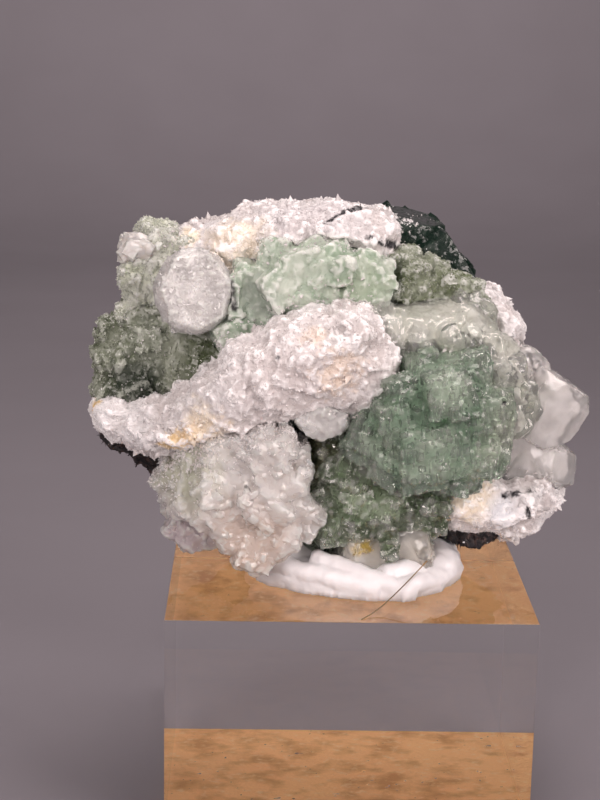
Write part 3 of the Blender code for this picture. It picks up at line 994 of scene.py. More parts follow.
@dataclass(frozen=True)
class Finish:
    """A named material, which each kind of finish paints in its own way."""

    name: str

    def make(self) -> bpy.types.Material:
        """Builds the material.

        Returns:
            The material.
        """
        palette = Palette(self.name)
        self.paint(palette)
        return palette.material

    def paint(self, palette: Palette) -> None:
        """Leaves the material plain, where a finish has no nodes of its own."""


@dataclass(frozen=True)
class CrystalFinish(Finish):
    """Fluorite or calcite: how clear it is, its colours, and how it takes up light."""

    body: Colour
    vein: Colour
    clear: float
    roughness: Range
    ior: float
    left: Colour
    density: float
    relief: float = 0.35
    coarse: float = 380.0
    fine: float = 2200.0
    milk: float = 0.0
    colour_spots: tuple[ColourSpot, ...] = ()
    # edge is the pale colour of the streaks and of the crests; worn is how much of it the crests
    # take, which is partly pale frost and partly painted highlight
    edge: Colour = (0.92, 0.94, 0.90)
    worn: float = 0.6
    streaks: float = 0.0

    def paint(self, palette: Palette) -> None:
        """Adds the nodes of the finish.

        Args:
            palette: The material's nodes.
        """
        grain = palette.group(GROUPS.grain, Coarse=self.coarse, Fine=self.fine)
        colour = palette.tint(grain.outputs["Mask"], 0.38, 0.66, 1.0, self.body, self.vein)
        for colour_spot in self.colour_spots:
            colour = colour_spot.lay_on(palette, colour)
        if self.streaks:
            lines = palette.noise(2600.0, 3.0, (1.0, 1.0, 0.16))
            colour = palette.tint(lines, 0.56, 0.72, self.streaks, colour, self.edge)
        crest = palette.attribute("crest")
        # Crests are painted paler towards the edge colour: partly pale frost, partly painted
        # highlight
        palette.colour(palette.tint(crest, 0.54, 0.85, self.worn, colour, self.edge))
        palette.rough(grain.outputs["Mask"], 0.35, 0.68, self.roughness)
        palette.bump(grain.outputs["Height"], self.relief, 0.0003)
        palette.plain(IOR=self.ior, Transmission_Weight=self.clear)
        palette.milk(self.milk, 0.0008, (1.0, 0.95, 0.9))
        if self.density > 0.0:
            palette.absorb(self.left, self.density)


@dataclass(frozen=True)
class CoreFinish(Finish):
    """The cloudy heart of a clear crystal, which shows through its clear outer zone."""

    pale: Colour
    deep: Colour
    scale: float = 420.0

    def paint(self, palette: Palette) -> None:
        """Adds the nodes of the finish.

        Args:
            palette: The material's nodes.
        """
        clouds = palette.noise(self.scale, 5.0)
        palette.colour(palette.tint(clouds, 0.38, 0.62, 1.0, self.deep, self.pale))
        palette.plain(Roughness=0.6)
        palette.bump(palette.noise(1500.0, 4.0), 0.5, 0.0004)


@dataclass(frozen=True)
class DruseFinish(Finish):
    """The white quartz druse, with cream, ochre and pinkish places, painted shade in its creases
    and painted highlights on its crests.
    """

    white: Colour
    # shade is the greyer tone of random patches and crystals, and also the painted shade in creases
    shade: Colour
    milk: float
    colour_spots: tuple[ColourSpot, ...] = ()
    # The painted highlight colour that the crests take
    crest_highlight: Colour = (0.90, 0.88, 0.88)

    def paint(self, palette: Palette) -> None:
        """Adds the nodes of the finish.

        Args:
            palette: The material's nodes.
        """
        colour = palette.tint(palette.noise(260.0), 0.42, 0.66, 1.0, self.white, self.shade)
        colour = palette.tint(palette.attribute("tone"), 0.55, 1.0, 0.6, colour, self.shade)
        crest = palette.attribute("crest")
        # Painted shade: creases, where the crest value is low, are darkened towards the shade
        # colour
        colour = palette.tint(crest, 0.45, 0.2, 0.7, colour, self.shade)
        for colour_spot in self.colour_spots:
            colour = colour_spot.lay_on(palette, colour)
        # Painted highlight: crests are lightened towards a near-white colour
        palette.colour(palette.tint(crest, 0.55, 0.8, 0.8, colour, self.crest_highlight))
        palette.rough(palette.noise(1800.0), 0.35, 0.7, (0.2, 0.55))
        palette.plain(IOR=QUARTZ_IOR)
        palette.milk(self.milk, 0.0003, (1.0, 0.92, 0.9))


@dataclass(frozen=True)
class RockFinish(Finish):
    """The dark, fibrous host rock."""

    dark: Colour
    dusty: Colour

    def paint(self, palette: Palette) -> None:
        """Adds the nodes of the finish.

        Args:
            palette: The material's nodes.
        """
        dust = palette.noise(1500.0, 5.0)
        palette.colour(palette.tint(dust, 0.5, 0.78, 1.0, self.dark, self.dusty))
        palette.rough(palette.noise(700.0), 0.3, 0.7, (0.4, 0.85))
        palette.bump(palette.noise(4000.0, 4.0), 0.7, 0.0003)


@dataclass(frozen=True)
class PuttyFinish(Finish):
    """The white mounting putty, slightly soft and shiny."""

    white: Colour
    worn: Colour

    def paint(self, palette: Palette) -> None:
        """Adds the nodes of the finish.

        Args:
            palette: The material's nodes.
        """
        palette.colour(palette.tint(palette.noise(300.0), 0.45, 0.75, 1.0, self.white, self.worn))
        palette.rough(palette.noise(900.0), 0.3, 0.7, (0.32, 0.55))
        palette.bump(palette.noise(1400.0, 4.0), 0.18, 0.0003)
        palette.milk(0.2, 0.0008, (1.0, 0.85, 0.8))


@dataclass(frozen=True)
class AcrylicFinish(Finish):
    """Clear polished acrylic with faint wipe marks."""

    def paint(self, palette: Palette) -> None:
        """Adds the nodes of the finish.

        Args:
            palette: The material's nodes.
        """
        wipes = palette.noise(260.0, 6.0, (1.0, 9.0, 1.0), 0.5)
        palette.rough(wipes, 0.5, 0.85, (0.0, 0.09))
        palette.plain(Base_Color=(1.0, 1.0, 1.0, 1.0), IOR=ACRYLIC_IOR, Transmission_Weight=1.0)
        palette.absorb((0.93, 0.95, 0.9), 3.0)


@dataclass(frozen=True)
class PaperFinish(Finish):
    """Brown paper with mottled fibres."""

    tan: Colour
    dark: Colour
    pale: Colour

    def paint(self, palette: Palette) -> None:
        """Adds the nodes of the finish.

        Args:
            palette: The material's nodes.
        """
        blotches = palette.noise(260.0, 6.0)
        colour = palette.tint(blotches, 0.46, 0.66, 1.0, self.tan, self.dark)
        palette.colour(palette.tint(palette.noise(900.0), 0.56, 0.76, 0.8, colour, self.pale))
        palette.plain(Roughness=0.75)
        palette.bump(palette.noise(2400.0, 3.0), 0.4, 0.0002)


@dataclass(frozen=True)
class PlainFinish(Finish):
    """A plain finish with a slight change of tone, for the floor and the loose fibre."""

    colour: Colour
    other: Colour
    roughness: float
    scale: float = 30.0

    def paint(self, palette: Palette) -> None:
        """Adds the nodes of the finish.

        Args:
            palette: The material's nodes.
        """
        clouds = palette.noise(self.scale)
        palette.colour(palette.tint(clouds, 0.3, 0.7, 1.0, self.colour, self.other))
        palette.plain(Roughness=self.roughness)


# Stains and spots, by where they show; the olive finish's pits are painted shade and the lower
# window is painted light
CREAM: Colour = (0.88, 0.78, 0.62)
OCHRE: Colour = (0.70, 0.50, 0.22)
BROWN: Colour = (0.56, 0.42, 0.28)
BLACK: Colour = (0.02, 0.018, 0.022)
TAN: Colour = (0.72, 0.58, 0.46)
DEEP_GREEN: Colour = (0.26, 0.38, 0.28)


def hairline(start: Point, end: Point, radius: float, ragged: float = 1.2) -> ColourSpot:
    """Gives a thin black line, such as a dark needle leaves in a pale crystal.

    Args:
        start: Where it starts.
        end: Where it ends.
        radius: Half its width.
        ragged: How far its edge wanders.

    Returns:
        The stain.
    """
    return ColourSpot(start, radius, BLACK, ragged, 2600.0, end=end)


DRUSE_STAINS = (
    ColourSpot((-7.0, -15.0, 49.6), 8.5, (0.55, 0.50, 0.49), 1.8, 260.0, 0.6),
    ColourSpot((-5.0, -3.4, 64.6), 9.0, (0.52, 0.49, 0.50), 1.8, 300.0, 0.6),
    ColourSpot((-27.6, -6.4, 43.0), 7.5, (0.88, 0.87, 0.87), 1.4, 600.0, 0.5),
    ColourSpot((-13.5, -4.5, 63.0), 5.5, CREAM, 1.6, 700.0, 0.6),
    ColourSpot((-18.6, -1.0, 62.6), 2.0, CREAM, 1.4, 1200.0, 0.8),
    ColourSpot((-28.6, -5.4, 44.4), 1.4, OCHRE, 1.6, 1500.0),
    ColourSpot((-20.2, -11.8, 41.6), 1.3, OCHRE, 2.6, 1900.0, 0.8, end=(-17.4, -13.2, 43.4)),
    ColourSpot((-17.4, -13.2, 43.4), 1.8, BROWN, 2.6, 1900.0, 0.7, end=(-14.6, -13.6, 45.0)),
    ColourSpot((-16.0, -13.6, 44.8), 3.6, CREAM, 1.4, 900.0, 0.7),
    ColourSpot((-2.0, -15.0, 50.8), 3.6, TAN, 2.2, 1100.0, 0.6),
    ColourSpot((-4.5, -14.8, 54.7), 2.0, TAN, 2.0, 1300.0, 0.5),
    ColourSpot((13.0, -10.2, 36.2), 5.0, CREAM, 1.4, 900.0, 0.8),
    ColourSpot((17.0, -8.8, 33.6), 3.0, (0.70, 0.73, 0.78), 1.4, 900.0, 0.6),
    hairline((17.2, -8.2, 35.4), (18.8, -7.6, 35.6), 0.55),
    hairline((20.0, -8.8, 33.2), (20.4, -7.0, 35.4), 0.7),
    hairline((-3.4, -3.8, 64.8), (-1.2, -1.8, 65.8), 0.6),
    hairline((-1.2, -1.8, 65.8), (1.6, 1.2, 66.6), 0.7),
    hairline((1.4, -3.6, 63.6), (3.0, -3.0, 62.9), 0.5),
    hairline((3.0, -3.0, 62.9), (5.0, -1.2, 62.2), 0.7),
    ColourSpot((-8.4, -15.9, 52.5), 0.4, BLACK, 0.4, 3000.0),
)
FOOT_STAIN = (ColourSpot((1.3, -11.3, 30.5), 1.7, (0.80, 0.56, 0.10), 2.0, 1600.0),)
LEFT_STAINS = (
    ColourSpot((-18.4, -11.0, 39.4), 7.0, (0.70, 0.74, 0.58), 1.0, 500.0, 0.8),
    ColourSpot((-11.0, -13.5, 31.4), 6.5, (0.72, 0.60, 0.52), 1.0, 500.0, 0.8),
    ColourSpot((-18.0, -9.0, 30.6), 5.0, (0.66, 0.58, 0.62), 1.0, 500.0, 0.8),
    ColourSpot((-20.0, -8.6, 41.4), 1.8, OCHRE, 2.2, 1500.0, 0.9),
    hairline((-11.6, -15.0, 38.2), (-11.0, -15.0, 36.6), 0.45, 0.8),
)
MAIN_STAINS = (
    ColourSpot((6.0, -15.6, 47.6), 4.2, DEEP_GREEN, 1.4, 500.0, 0.8),
    ColourSpot((12.2, -16.0, 45.4), 3.0, DEEP_GREEN, 1.4, 600.0, 0.8, end=(12.8, -15.0, 49.0)),
    ColourSpot((9.6, -16.6, 49.6), 3.4, (0.74, 0.82, 0.72), 1.6, 600.0, 0.7),
    ColourSpot((16.4, -10.6, 44.6), 7.0, (0.74, 0.79, 0.68), 1.4, 600.0, 0.9),
    ColourSpot((15.8, -14.6, 47.7), 0.45, BLACK, 0.5, 2600.0),
)
# An olive-brown window on the lower fluorite, laid paler than its own colour as painted light,
# where it lies in shadow
LOWER_WINDOW_PAINTED_LIGHT = (ColourSpot((-4.6, -8.0, 39.4), 4.6, (0.62, 0.58, 0.38), 0.6, 500.0, 0.95),)
DARK_STAINS = (
    ColourSpot((-24.0, -5.4, 47.0), 4.6, (0.035, 0.05, 0.035), 1.2, 900.0, 0.9),
    ColourSpot((-16.2, -4.6, 50.4), 3.6, (0.10, 0.13, 0.06), 0.8, 900.0, 0.9),
    ColourSpot((-22.6, -5.0, 51.8), 3.6, (0.40, 0.44, 0.36), 1.6, 900.0, 0.7),
)
MINT_STAINS = (
    hairline((-13.6, -6.4, 58.6), (-13.1, -6.8, 56.0), 0.7, 0.8),
    ColourSpot((1.0, -7.6, 58.6), 4.2, (0.36, 0.46, 0.32), 1.4, 900.0, 0.6),
    ColourSpot((-10.6, -7.6, 57.0), 3.4, (0.34, 0.40, 0.34), 1.4, 900.0, 0.7),
)
OLIVE_PIT_SHADE_AND_PATCH = (
    # The two near-black spots are painted shade in pits of the olive cluster; the last is a darker
    # olive patch
    ColourSpot((3.3, -5.4, 61.0), 1.2, (0.05, 0.06, 0.03), 1.2, 2600.0),
    ColourSpot((4.6, -4.1, 57.7), 2.2, (0.06, 0.08, 0.03), 1.4, 1500.0),
    ColourSpot((9.0, -2.0, 58.6), 2.2, (0.10, 0.13, 0.06), 1.8, 1500.0, 0.7),
)
UPPER_STAINS = (
    ColourSpot((-22.6, -2.6, 54.6), 1.6, (0.03, 0.04, 0.03), 1.2, 2000.0),
    hairline((-19.2, 0.4, 62.4), (-17.0, -1.6, 62.2), 0.6),
)


class Finishes:
    """All the materials of the specimen, each made once."""

    def __init__(self) -> None:
        """Makes the materials."""
        self.main = CrystalFinish(
            "fluorite_green", (0.40, 0.53, 0.42), (0.60, 0.70, 0.59), 0.8, (0.0, 0.16),
            FLUORITE_IOR, (0.30, 0.66, 0.34), 60.0, relief=0.08, worn=0.5, streaks=0.45,
            colour_spots=MAIN_STAINS,
        ).make()
        self.lower = CrystalFinish(
            "fluorite_deep_green", (0.24, 0.31, 0.20), (0.52, 0.60, 0.46), 0.8, (0.0, 0.16),
            FLUORITE_IOR, (0.34, 0.60, 0.28), 80.0, relief=0.08, worn=0.8, streaks=0.3,
            colour_spots=LOWER_WINDOW_PAINTED_LIGHT,
        ).make()
        self.mint = CrystalFinish(
            "fluorite_mint", (0.38, 0.48, 0.37), (0.60, 0.66, 0.57), 0.25, (0.15, 0.5),
            FLUORITE_IOR, (0.6, 0.8, 0.6), 40.0, relief=0.2, milk=0.6, colour_spots=MINT_STAINS,
        ).make()
        self.olive = CrystalFinish(
            "fluorite_olive", (0.21, 0.25, 0.15), (0.38, 0.42, 0.32), 0.35, (0.15, 0.5),
            FLUORITE_IOR, (0.4, 0.55, 0.3), 80.0, relief=0.25, milk=0.3, colour_spots=OLIVE_PIT_SHADE_AND_PATCH,
        ).make()
        self.dark = CrystalFinish(
            "fluorite_black_green", (0.014, 0.036, 0.025), (0.035, 0.065, 0.05), 0.6, (0.02, 0.25),
            FLUORITE_IOR, (0.08, 0.30, 0.18), 200.0, relief=0.12, edge=(0.50, 0.56, 0.52),
            worn=0.15,
        ).make()
        self.left = CrystalFinish(
            "fluorite_grey_green", (0.20, 0.235, 0.155), (0.44, 0.48, 0.38), 0.45, (0.05, 0.4),
            FLUORITE_IOR, (0.3, 0.42, 0.24), 100.0, relief=0.2, colour_spots=DARK_STAINS,
            edge=(0.74, 0.78, 0.70),
        ).make()
        self.upper_left = CrystalFinish(
            "fluorite_pale_green", (0.66, 0.71, 0.56), (0.76, 0.78, 0.70), 0.3, (0.15, 0.5),
            FLUORITE_IOR, (0.55, 0.68, 0.48), 60.0, relief=0.2, milk=0.5, colour_spots=UPPER_STAINS,
        ).make()
        self.plate = CrystalFinish(
            "calcite_frosted", (0.58, 0.57, 0.56), (0.86, 0.85, 0.84), 0.5, (0.02, 0.3),
            CALCITE_IOR, (0.85, 0.85, 0.83), 40.0, relief=0.25, coarse=420.0, milk=0.5, worn=0.9,
            streaks=0.4,
        ).make()
        self.milky = CrystalFinish(
            "calcite_milky", (0.86, 0.82, 0.79), (0.94, 0.91, 0.89), 0.52, (0.02, 0.3), CALCITE_IOR,
            (0.85, 0.82, 0.78), 30.0, relief=0.15, coarse=250.0, milk=0.7, worn=0.8,
            colour_spots=LEFT_STAINS,
        ).make()
        self.glassy = CrystalFinish(
            "calcite_glassy", (0.96, 0.95, 0.94), (0.96, 0.95, 0.94), 0.82, (0.0, 0.08),
            CALCITE_IOR, (0.9, 0.88, 0.86), 25.0, relief=0.1, milk=0.4, streaks=0.5,
        ).make()
        self.clear = CrystalFinish(
            "calcite_clear", (0.80, 0.83, 0.76), (0.95, 0.96, 0.92), 0.82, (0.0, 0.12), CALCITE_IOR,
            (0.68, 0.82, 0.60), 50.0, relief=0.05, coarse=240.0, milk=0.3,
        ).make()
        self.foot = CrystalFinish(
            "calcite_foot", (0.90, 0.87, 0.80), (0.97, 0.96, 0.92), 0.82, (0.0, 0.15), CALCITE_IOR,
            (0.85, 0.8, 0.65), 50.0, relief=0.15, milk=0.5, colour_spots=FOOT_STAIN,
        ).make()
        self.green_heart = CoreFinish(
            "heart_green", (0.96, 0.98, 0.94), (0.50, 0.60, 0.48), 330.0
        ).make()
        self.dark_heart = CoreFinish("heart_dark", (0.60, 0.66, 0.56), (0.12, 0.16, 0.12)).make()
        self.white_heart = CoreFinish(
            "heart_white", (0.99, 0.98, 0.97), (0.86, 0.83, 0.80), 500.0
        ).make()
        self.crust = DruseFinish(
            "quartz_crust", (0.66, 0.64, 0.64), (0.50, 0.46, 0.45), 0.5, DRUSE_STAINS
        ).make()
        self.druse = DruseFinish(
            "quartz_druse", (0.65, 0.64, 0.64), (0.54, 0.50, 0.49), 0.0, DRUSE_STAINS
        ).make()
        self.rock = RockFinish("host_rock", (0.012, 0.010, 0.012), (0.10, 0.055, 0.045)).make()
        self.putty = PuttyFinish("white_putty", (0.80, 0.79, 0.80), (0.72, 0.70, 0.71)).make()
        self.acrylic = AcrylicFinish("clear_acrylic").make()
        self.paper = PaperFinish(
            "brown_paper", (1.0, 0.57, 0.25), (0.68, 0.33, 0.12), (1.0, 0.70, 0.38)
        ).make()
        self.fibre = PlainFinish(
            "fibre", (0.03, 0.022, 0.02), (0.4, 0.24, 0.08), roughness=0.35, scale=120.0
        ).make()
        self.floor = PlainFinish("floor", (0.165, 0.153, 0.170), (0.174, 0.162, 0.180), 0.85).make()


# ----- sub-assemblies -----


@dataclass
class CrystalGroup:
    """One CAD crystal group, with fine relief, growth steps, grains and white frost."""

    node: str
    finish: bpy.types.Material
    layers: tuple[Uneven, ...] = ()
    growth: tuple[Cover, ...] = ()
    melted: tuple[Cover, ...] = ()
    heart: bpy.types.Material | None = None
    depth: float = 1.2
    cloud: float = 4.0
    voxel: float = 0.22
    swell: float = 0.3
    kept: float = 0.45
    smooth_angle: float = 24.0

    def build_heart(self) -> None:
        """Builds and places the cloudy heart, well inside the clear outer zone."""
        if self.heart is None:
            return
        heart = copy_of_node(self.node, f"{self.node}_heart")
        rounds = 3
        for _ in range(rounds):
            apply_modifier(heart, "DISPLACE", strength=-self.depth / rounds * MM, mid_level=0.0)
            apply_modifier(heart, "REMESH", mode="VOXEL", voxel_size=HEART_VOXEL * MM)
        Uneven(Relief.LUMPS, HEART_LUMPS, self.cloud).press_into(heart)
        apply_modifier(heart, "DECIMATE", ratio=HEART_KEPT)
        put_in_place(heart, self.heart, self.node)

    def build(self) -> bpy.types.Object:
        """Builds the group's detailed body.

        Returns:
            The piece.
        """
        name = f"{self.node}_crystals"
        body = copy_of_node(self.node, name)
        tree = obstacles(self.node)
        lumps = tuple(cover.build(body, f"{name}_lumps", tree) for cover in self.melted)
        roughen(body, self.swell, self.voxel, self.layers, self.kept, lumps)
        mark_crests(body)
        take_up(body)
        bpy.ops.object.shade_smooth_by_angle(angle=math.radians(self.smooth_angle))
        return body

    def grow(self, body: bpy.types.Object) -> bpy.types.Object:
        """Adds the sharp growth steps and grains to the body.

        Args:
            body: The piece.

        Returns:
            The piece.
        """
        tree = obstacles(self.node)
        grown = [cover.build(body, f"{body.name}_growth", tree) for cover in self.growth]
        if grown:
            join_all([body, *grown])
        return body

    def frost(self, body: bpy.types.Object, cover: Cover) -> bpy.types.Object:
        """Covers the body with white frost, as the cover says, and gives the frost."""
        return cover.build(body, f"{self.node}_frost", obstacles(self.node))

    def dress(self, body: bpy.types.Object) -> None:
        """Gives the body its finish and its place in the frame."""
        put_in_place(body, self.finish, self.node, self.node)


def put_in_place(
    piece: bpy.types.Object, finish: bpy.types.Material, slot: str, *nodes: str
) -> None:
    """Gives a piece its material and its body, and hides the CAD nodes that it stands for.

    Args:
        piece: The piece.
        finish: Its material.
        slot: Not used.
        *nodes: The CAD nodes that it replaces.
    """
    piece.data.materials.clear()
    piece.data.materials.append(finish)
    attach(piece, "root")
    if nodes:
        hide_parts(*nodes)
    piece.data.calc_loop_triangles()
    LOG.info("%s: %d triangles", piece.name, len(piece.data.loop_triangles))


@dataclass
class QuartzCrust:
    """The white crust and the druse of small quartz crystals on it."""

    finishes: Finishes
    voxel: float = 0.28
    swell: float = 0.3
    kept: float = 0.7
    layers: tuple[Uneven, ...] = (
        Uneven(Relief.PEAKS, 2.8, -0.9), Uneven(Relief.LUMPS, 1.5, 0.7),
        Uneven(Relief.PEAKS, 0.8, -0.28),
    )
    fine_pieces: int = 4
    fine: Cover = Cover(Shape.GRAIN, 17000, (0.06, 0.16), (0.15, 0.45), 0.45, 601, sink=0.45)
    coarse: Cover = Cover(
        Shape.POINT, 2600, (0.14, 0.36), (0.4, 1.3), 0.6, 651, bias=3.0, patches=3.0
    )

    def build_body(self) -> bpy.types.Object:
        """Builds the crust's body.

        Returns:
            The piece.
        """
        body = copy_of_node("quartz_crust", "quartz_crust_body")
        roughen(body, self.swell, self.voxel, self.layers, self.kept)
        mark_crests(body)
        return body

    def build(self) -> None:
        """Builds and places the crust and its druse."""
        body = self.build_body()
        tree = obstacles("quartz_crust")
        for k in range(self.fine_pieces):
            last = k == self.fine_pieces - 1
            cover = replace(self.fine, seed=self.fine.seed + k, patches=4.0 if last else 0.0)
            fine = cover.build(body, f"quartz_druse_fine_{k + 1}", tree)
            put_in_place(fine, self.finishes.druse, "quartz_crust")
        coarse = self.coarse.build(body, "quartz_druse_coarse", tree)
        put_in_place(coarse, self.finishes.druse, "quartz_crust")
        put_in_place(body, self.finishes.crust, "quartz_crust", "quartz_crust")


@dataclass
class HostRock:
    """The dark host rock and the fibres that stand out of it."""

    finish: bpy.types.Material
    quartz: bpy.types.Material
    swell: float = 0.1
    voxel: float = 0.3
    kept: float = 0.6
    layers: tuple[Uneven, ...] = (
        Uneven(Relief.LUMPS, 3.2, 1.6), Uneven(Relief.CRACKLE, 1.7, 0.5),
        Uneven(Relief.LUMPS, 0.8, 0.7),
    )
    fibres: Cover = Cover(Shape.NEEDLE, 9000, (0.05, 0.15), (0.3, 1.1), 0.9, 611, sink=0.4)
    sprinkle: Cover = Cover(
        Shape.GRAIN, 500, (0.05, 0.2), (0.1, 0.4), 0.6, 621, bias=3.0, clear_of=0.1,
        beside=("quartz_crust", 2.5),
    )

    def build(self) -> None:
        """Builds and places the rock and its fibres."""
        body = copy_of_node("host_rock", "host_rock_body")
        roughen(body, self.swell, self.voxel, self.layers, self.kept)
        fibres = self.fibres.build(body, "host_rock_fibres", obstacles("host_rock"))
        put_in_place(body, self.finish, "host_rock", "host_rock")
        put_in_place(fibres, self.finish, "host_rock")
        sprinkle = self.sprinkle.build(body, "quartz_on_rock", obstacles("host_rock"))
        put_in_place(sprinkle, self.quartz, "quartz_crust")


def tube(name: str, path: tuple[Point, ...], radius: float, sides: int) -> bpy.types.Object:
    """Makes a round strand along a smooth path.

    Args:
        name: The object's name.
        path: The points that it follows, in millimetres.
        radius: Its radius, in millimetres.
        sides: How finely it is rounded.

    Returns:
        The strand.
    """
    curve = bpy.data.curves.new(name, "CURVE")
    curve.dimensions = "3D"
    curve.bevel_depth = radius * MM
    curve.bevel_resolution = sides
    curve.use_fill_caps = True
    spline = curve.splines.new("NURBS")
    spline.points.add(len(path) - 1)
    for point, place in zip(spline.points, path):
        point.co = (*[value * MM for value in place], 1.0)
    spline.use_endpoint_u = True
    spline.order_u = 4
    take_up(place_new(name, curve))
    bpy.ops.object.convert(target="MESH")
    return bpy.context.object


@dataclass
class Putty:
    """The wad of putty, pressed down on the block, and the loose fibre over it."""

    finishes: Finishes
    voxel: float = 0.28
    gap: float = 0.01
    pressed: float = 0.5
    fibre_radius: float = 0.065
    layers: tuple[Uneven, ...] = (
        Uneven(Relief.FOLDS, 3.0, 1.0, (20.0, 35.0, 50.0)), Uneven(Relief.LUMPS, 1.6, 0.35),
        Uneven(Relief.LUMPS, 0.7, 0.3, (0.0, 90.0, 20.0), stretch=4.0),
    )
    fibre_path: tuple[Point, ...] = (
        (8.6, -11.4, 28.8), (7.0, -13.0, 27.6), (5.3, -14.8, 26.5), (3.8, -16.3, 25.6),
        (2.4, -17.7, 24.9), (1.0, -19.2, 24.75),
    )
    folds: tuple[tuple[float, tuple[Point, ...]], ...] = (
        (1.1, ((-10.0, -6.0, 26.4), (-6.5, -10.4, 26.0), (0.0, -12.6, 25.8), (7.0, -12.0, 25.8))),
        (0.8, ((-9.6, -7.4, 27.7), (-6.0, -10.8, 27.2), (-1.0, -12.4, 26.9), (3.0, -12.9, 26.0))),
        (0.7, ((-4.0, -9.6, 28.4), (-0.5, -11.6, 27.8), (3.2, -12.9, 26.8), (6.5, -13.0, 25.8))),
        (0.8, ((4.0, -12.0, 27.5), (7.5, -11.2, 27.6), (10.6, -8.2, 27.4), (12.0, -4.5, 27.0))),
        (0.7, ((5.5, -12.9, 26.5), (8.5, -11.8, 26.4), (11.5, -8.6, 26.0), (12.3, -5.0, 25.9))),
        (0.9, ((-10.6, -1.0, 26.8), (-8.8, 4.0, 26.9), (-4.0, 7.0, 26.7), (2.0, 7.9, 26.6))),
        (0.8, ((1.0, 7.4, 27.6), (6.0, 6.6, 27.2), (10.4, 3.0, 26.8), (12.2, -2.0, 26.6))),
    )

    def build(self) -> None:
        """Builds and places the putty and the fibre."""
        body = copy_of_node("putty", "putty_wad")
        strands = [
            tube(f"fold_{k}", path, radius, 3) for k, (radius, path) in enumerate(self.folds)
        ]
        join_all([body, *strands])
        apply_modifier(body, "REMESH", mode="VOXEL", voxel_size=self.voxel * MM)
        apply_modifier(body, "SMOOTH", factor=0.6, iterations=2)
        for layer in self.layers:
            layer.press_into(body)
        apply_modifier(body, "SMOOTH", factor=0.5, iterations=2)
        self._press_down(body)
        take_up(body)
        bpy.ops.object.shade_smooth()
        put_in_place(body, self.finishes.putty, "putty", "putty")
        self._build_fibre()

    def _press_down(self, body: bpy.types.Object) -> None:
        """Rests the putty's foot flat on the block.

        Args:
            body: The putty.
        """
        table = (BLOCK_TOP + self.gap) * MM
        foot = (BLOCK_TOP + self.pressed) * MM
        for vert in body.data.vertices:
            if vert.co.z < foot:
                vert.co.z = table

    def _build_fibre(self) -> None:
        """Builds and places the thin loose fibre."""
        fibre = tube("loose_fibre", self.fibre_path, self.fibre_radius, 1)
        put_in_place(fibre, self.finishes.fibre, "putty")


@dataclass
class DisplayBlock:
    """The clear block and the paper stuck to its underside."""

    finishes: Finishes
    contact: Uneven = Uneven(Relief.LUMPS, 0.55, 0.12, middle=0.44)
    edge: float = 0.05
    overlap: float = 0.02
    rim: float = 0.2
    paper_cuts: int = 120

    def build(self) -> None:
        """Builds and places the block and the paper."""
        self._build_block()
        self._build_paper()

    def _build_block(self) -> None:
        """Builds and places the clear block, with fine polished edges round its top."""
        low, high = (Vector(corner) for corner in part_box("acrylic_block"))
        block = add_box("acrylic_block_clear", (low + high) / 2, high - low)
        corners = block.data.vertices
        edit_some(
            block,
            "EDGE",
            lambda edge: min(corners[k].co.z for k in edge.vertices) > BLOCK_FOOT * 2 * MM,
        )
        bpy.ops.mesh.bevel(offset=self.edge * MM, segments=2, affect="EDGES")
        close_edit()
        bpy.ops.object.shade_smooth_by_angle(angle=math.radians(20.0))
        put_in_place(block, self.finishes.acrylic, "acrylic_block", "acrylic_block")

    def _build_paper(self) -> None:
        """Builds and places the paper, whose upper face reaches a little into the block."""
        height = BLOCK_FOOT + self.overlap
        paper = add_box(
            "backing_paper_sheet", Vector((0.0, 0.0, height / 2 * MM)),
            Vector((PAPER_SIDE * MM, PAPER_SIDE * MM, height * MM)),
        )
        edit_some(paper, "FACE", lambda face: face.normal.z > 0.5)
        bpy.ops.mesh.subdivide(number_cuts=self.paper_cuts)
        close_edit()
        top = paper.vertex_groups.new(name="top")
        rows = [v.index for v in paper.data.vertices if self._inside(v.co)]
        top.add(rows, 1.0, "REPLACE")
        self._ripple(paper)
        put_in_place(paper, self.finishes.paper, "backing_paper", "backing_paper")

    def _inside(self, place: Vector) -> bool:
        """Whether a corner lies on the paper's upper face, away from its edges."""
        reach = (PAPER_SIDE / 2 - self.rim) * MM
        return place.z > BLOCK_FOOT / 2 * MM and abs(place.x) < reach and abs(place.y) < reach

    def _ripple(self, paper: bpy.types.Object) -> None:
        """Lets the paper touch the block in patches.

        Args:
            paper: The paper.
        """
        texture = bpy.data.textures.new("paper_contact", "CLOUDS")
        texture.noise_scale = self.contact.size * MM
        texture.noise_depth = 3
        apply_modifier(
            paper, "DISPLACE", texture=texture, texture_coords="LOCAL", direction="Z",
            vertex_group="top", strength=self.contact.height * MM, mid_level=self.contact.middle,
        )
        bpy.data.textures.remove(texture)


@dataclass(frozen=True)
class Softbox:
    """An area light. Its place, size and target are in millimetres, its power in watts."""

    name: str
    place: Point
    size: Range
    power: float
    target: Point = (0.0, 0.0, 45.0)
    spread: float = 140.0
    mirrored: bool = True
    tint: Colour = (1.0, 0.88, 0.86)

    def build(self) -> None:
        """Adds the light, turned to its target and out of the camera's sight."""
        data = bpy.data.lights.new(self.name, "AREA")
        data.shape = "RECTANGLE"
        data.size, data.size_y = (side * MM for side in self.size)
        data.energy = self.power
        data.color = self.tint
        data.spread = math.radians(self.spread)
        light = place_new(self.name, data)
        aim = Vector(self.target) - Vector(self.place)
        light.location = Vector(self.place) * MM
        light.rotation_euler = aim.to_track_quat("-Z", "Y").to_euler()
        light.visible_camera = False
        light.visible_glossy = self.mirrored
        light.visible_transmission = self.mirrored


# Small lights that glint on the crystal faces
SPARKS = (
    (-60, -260, 300), (130, -330, 230), (-30, -220, 370), (-60, -340, 60), (260, -140, 230),
)


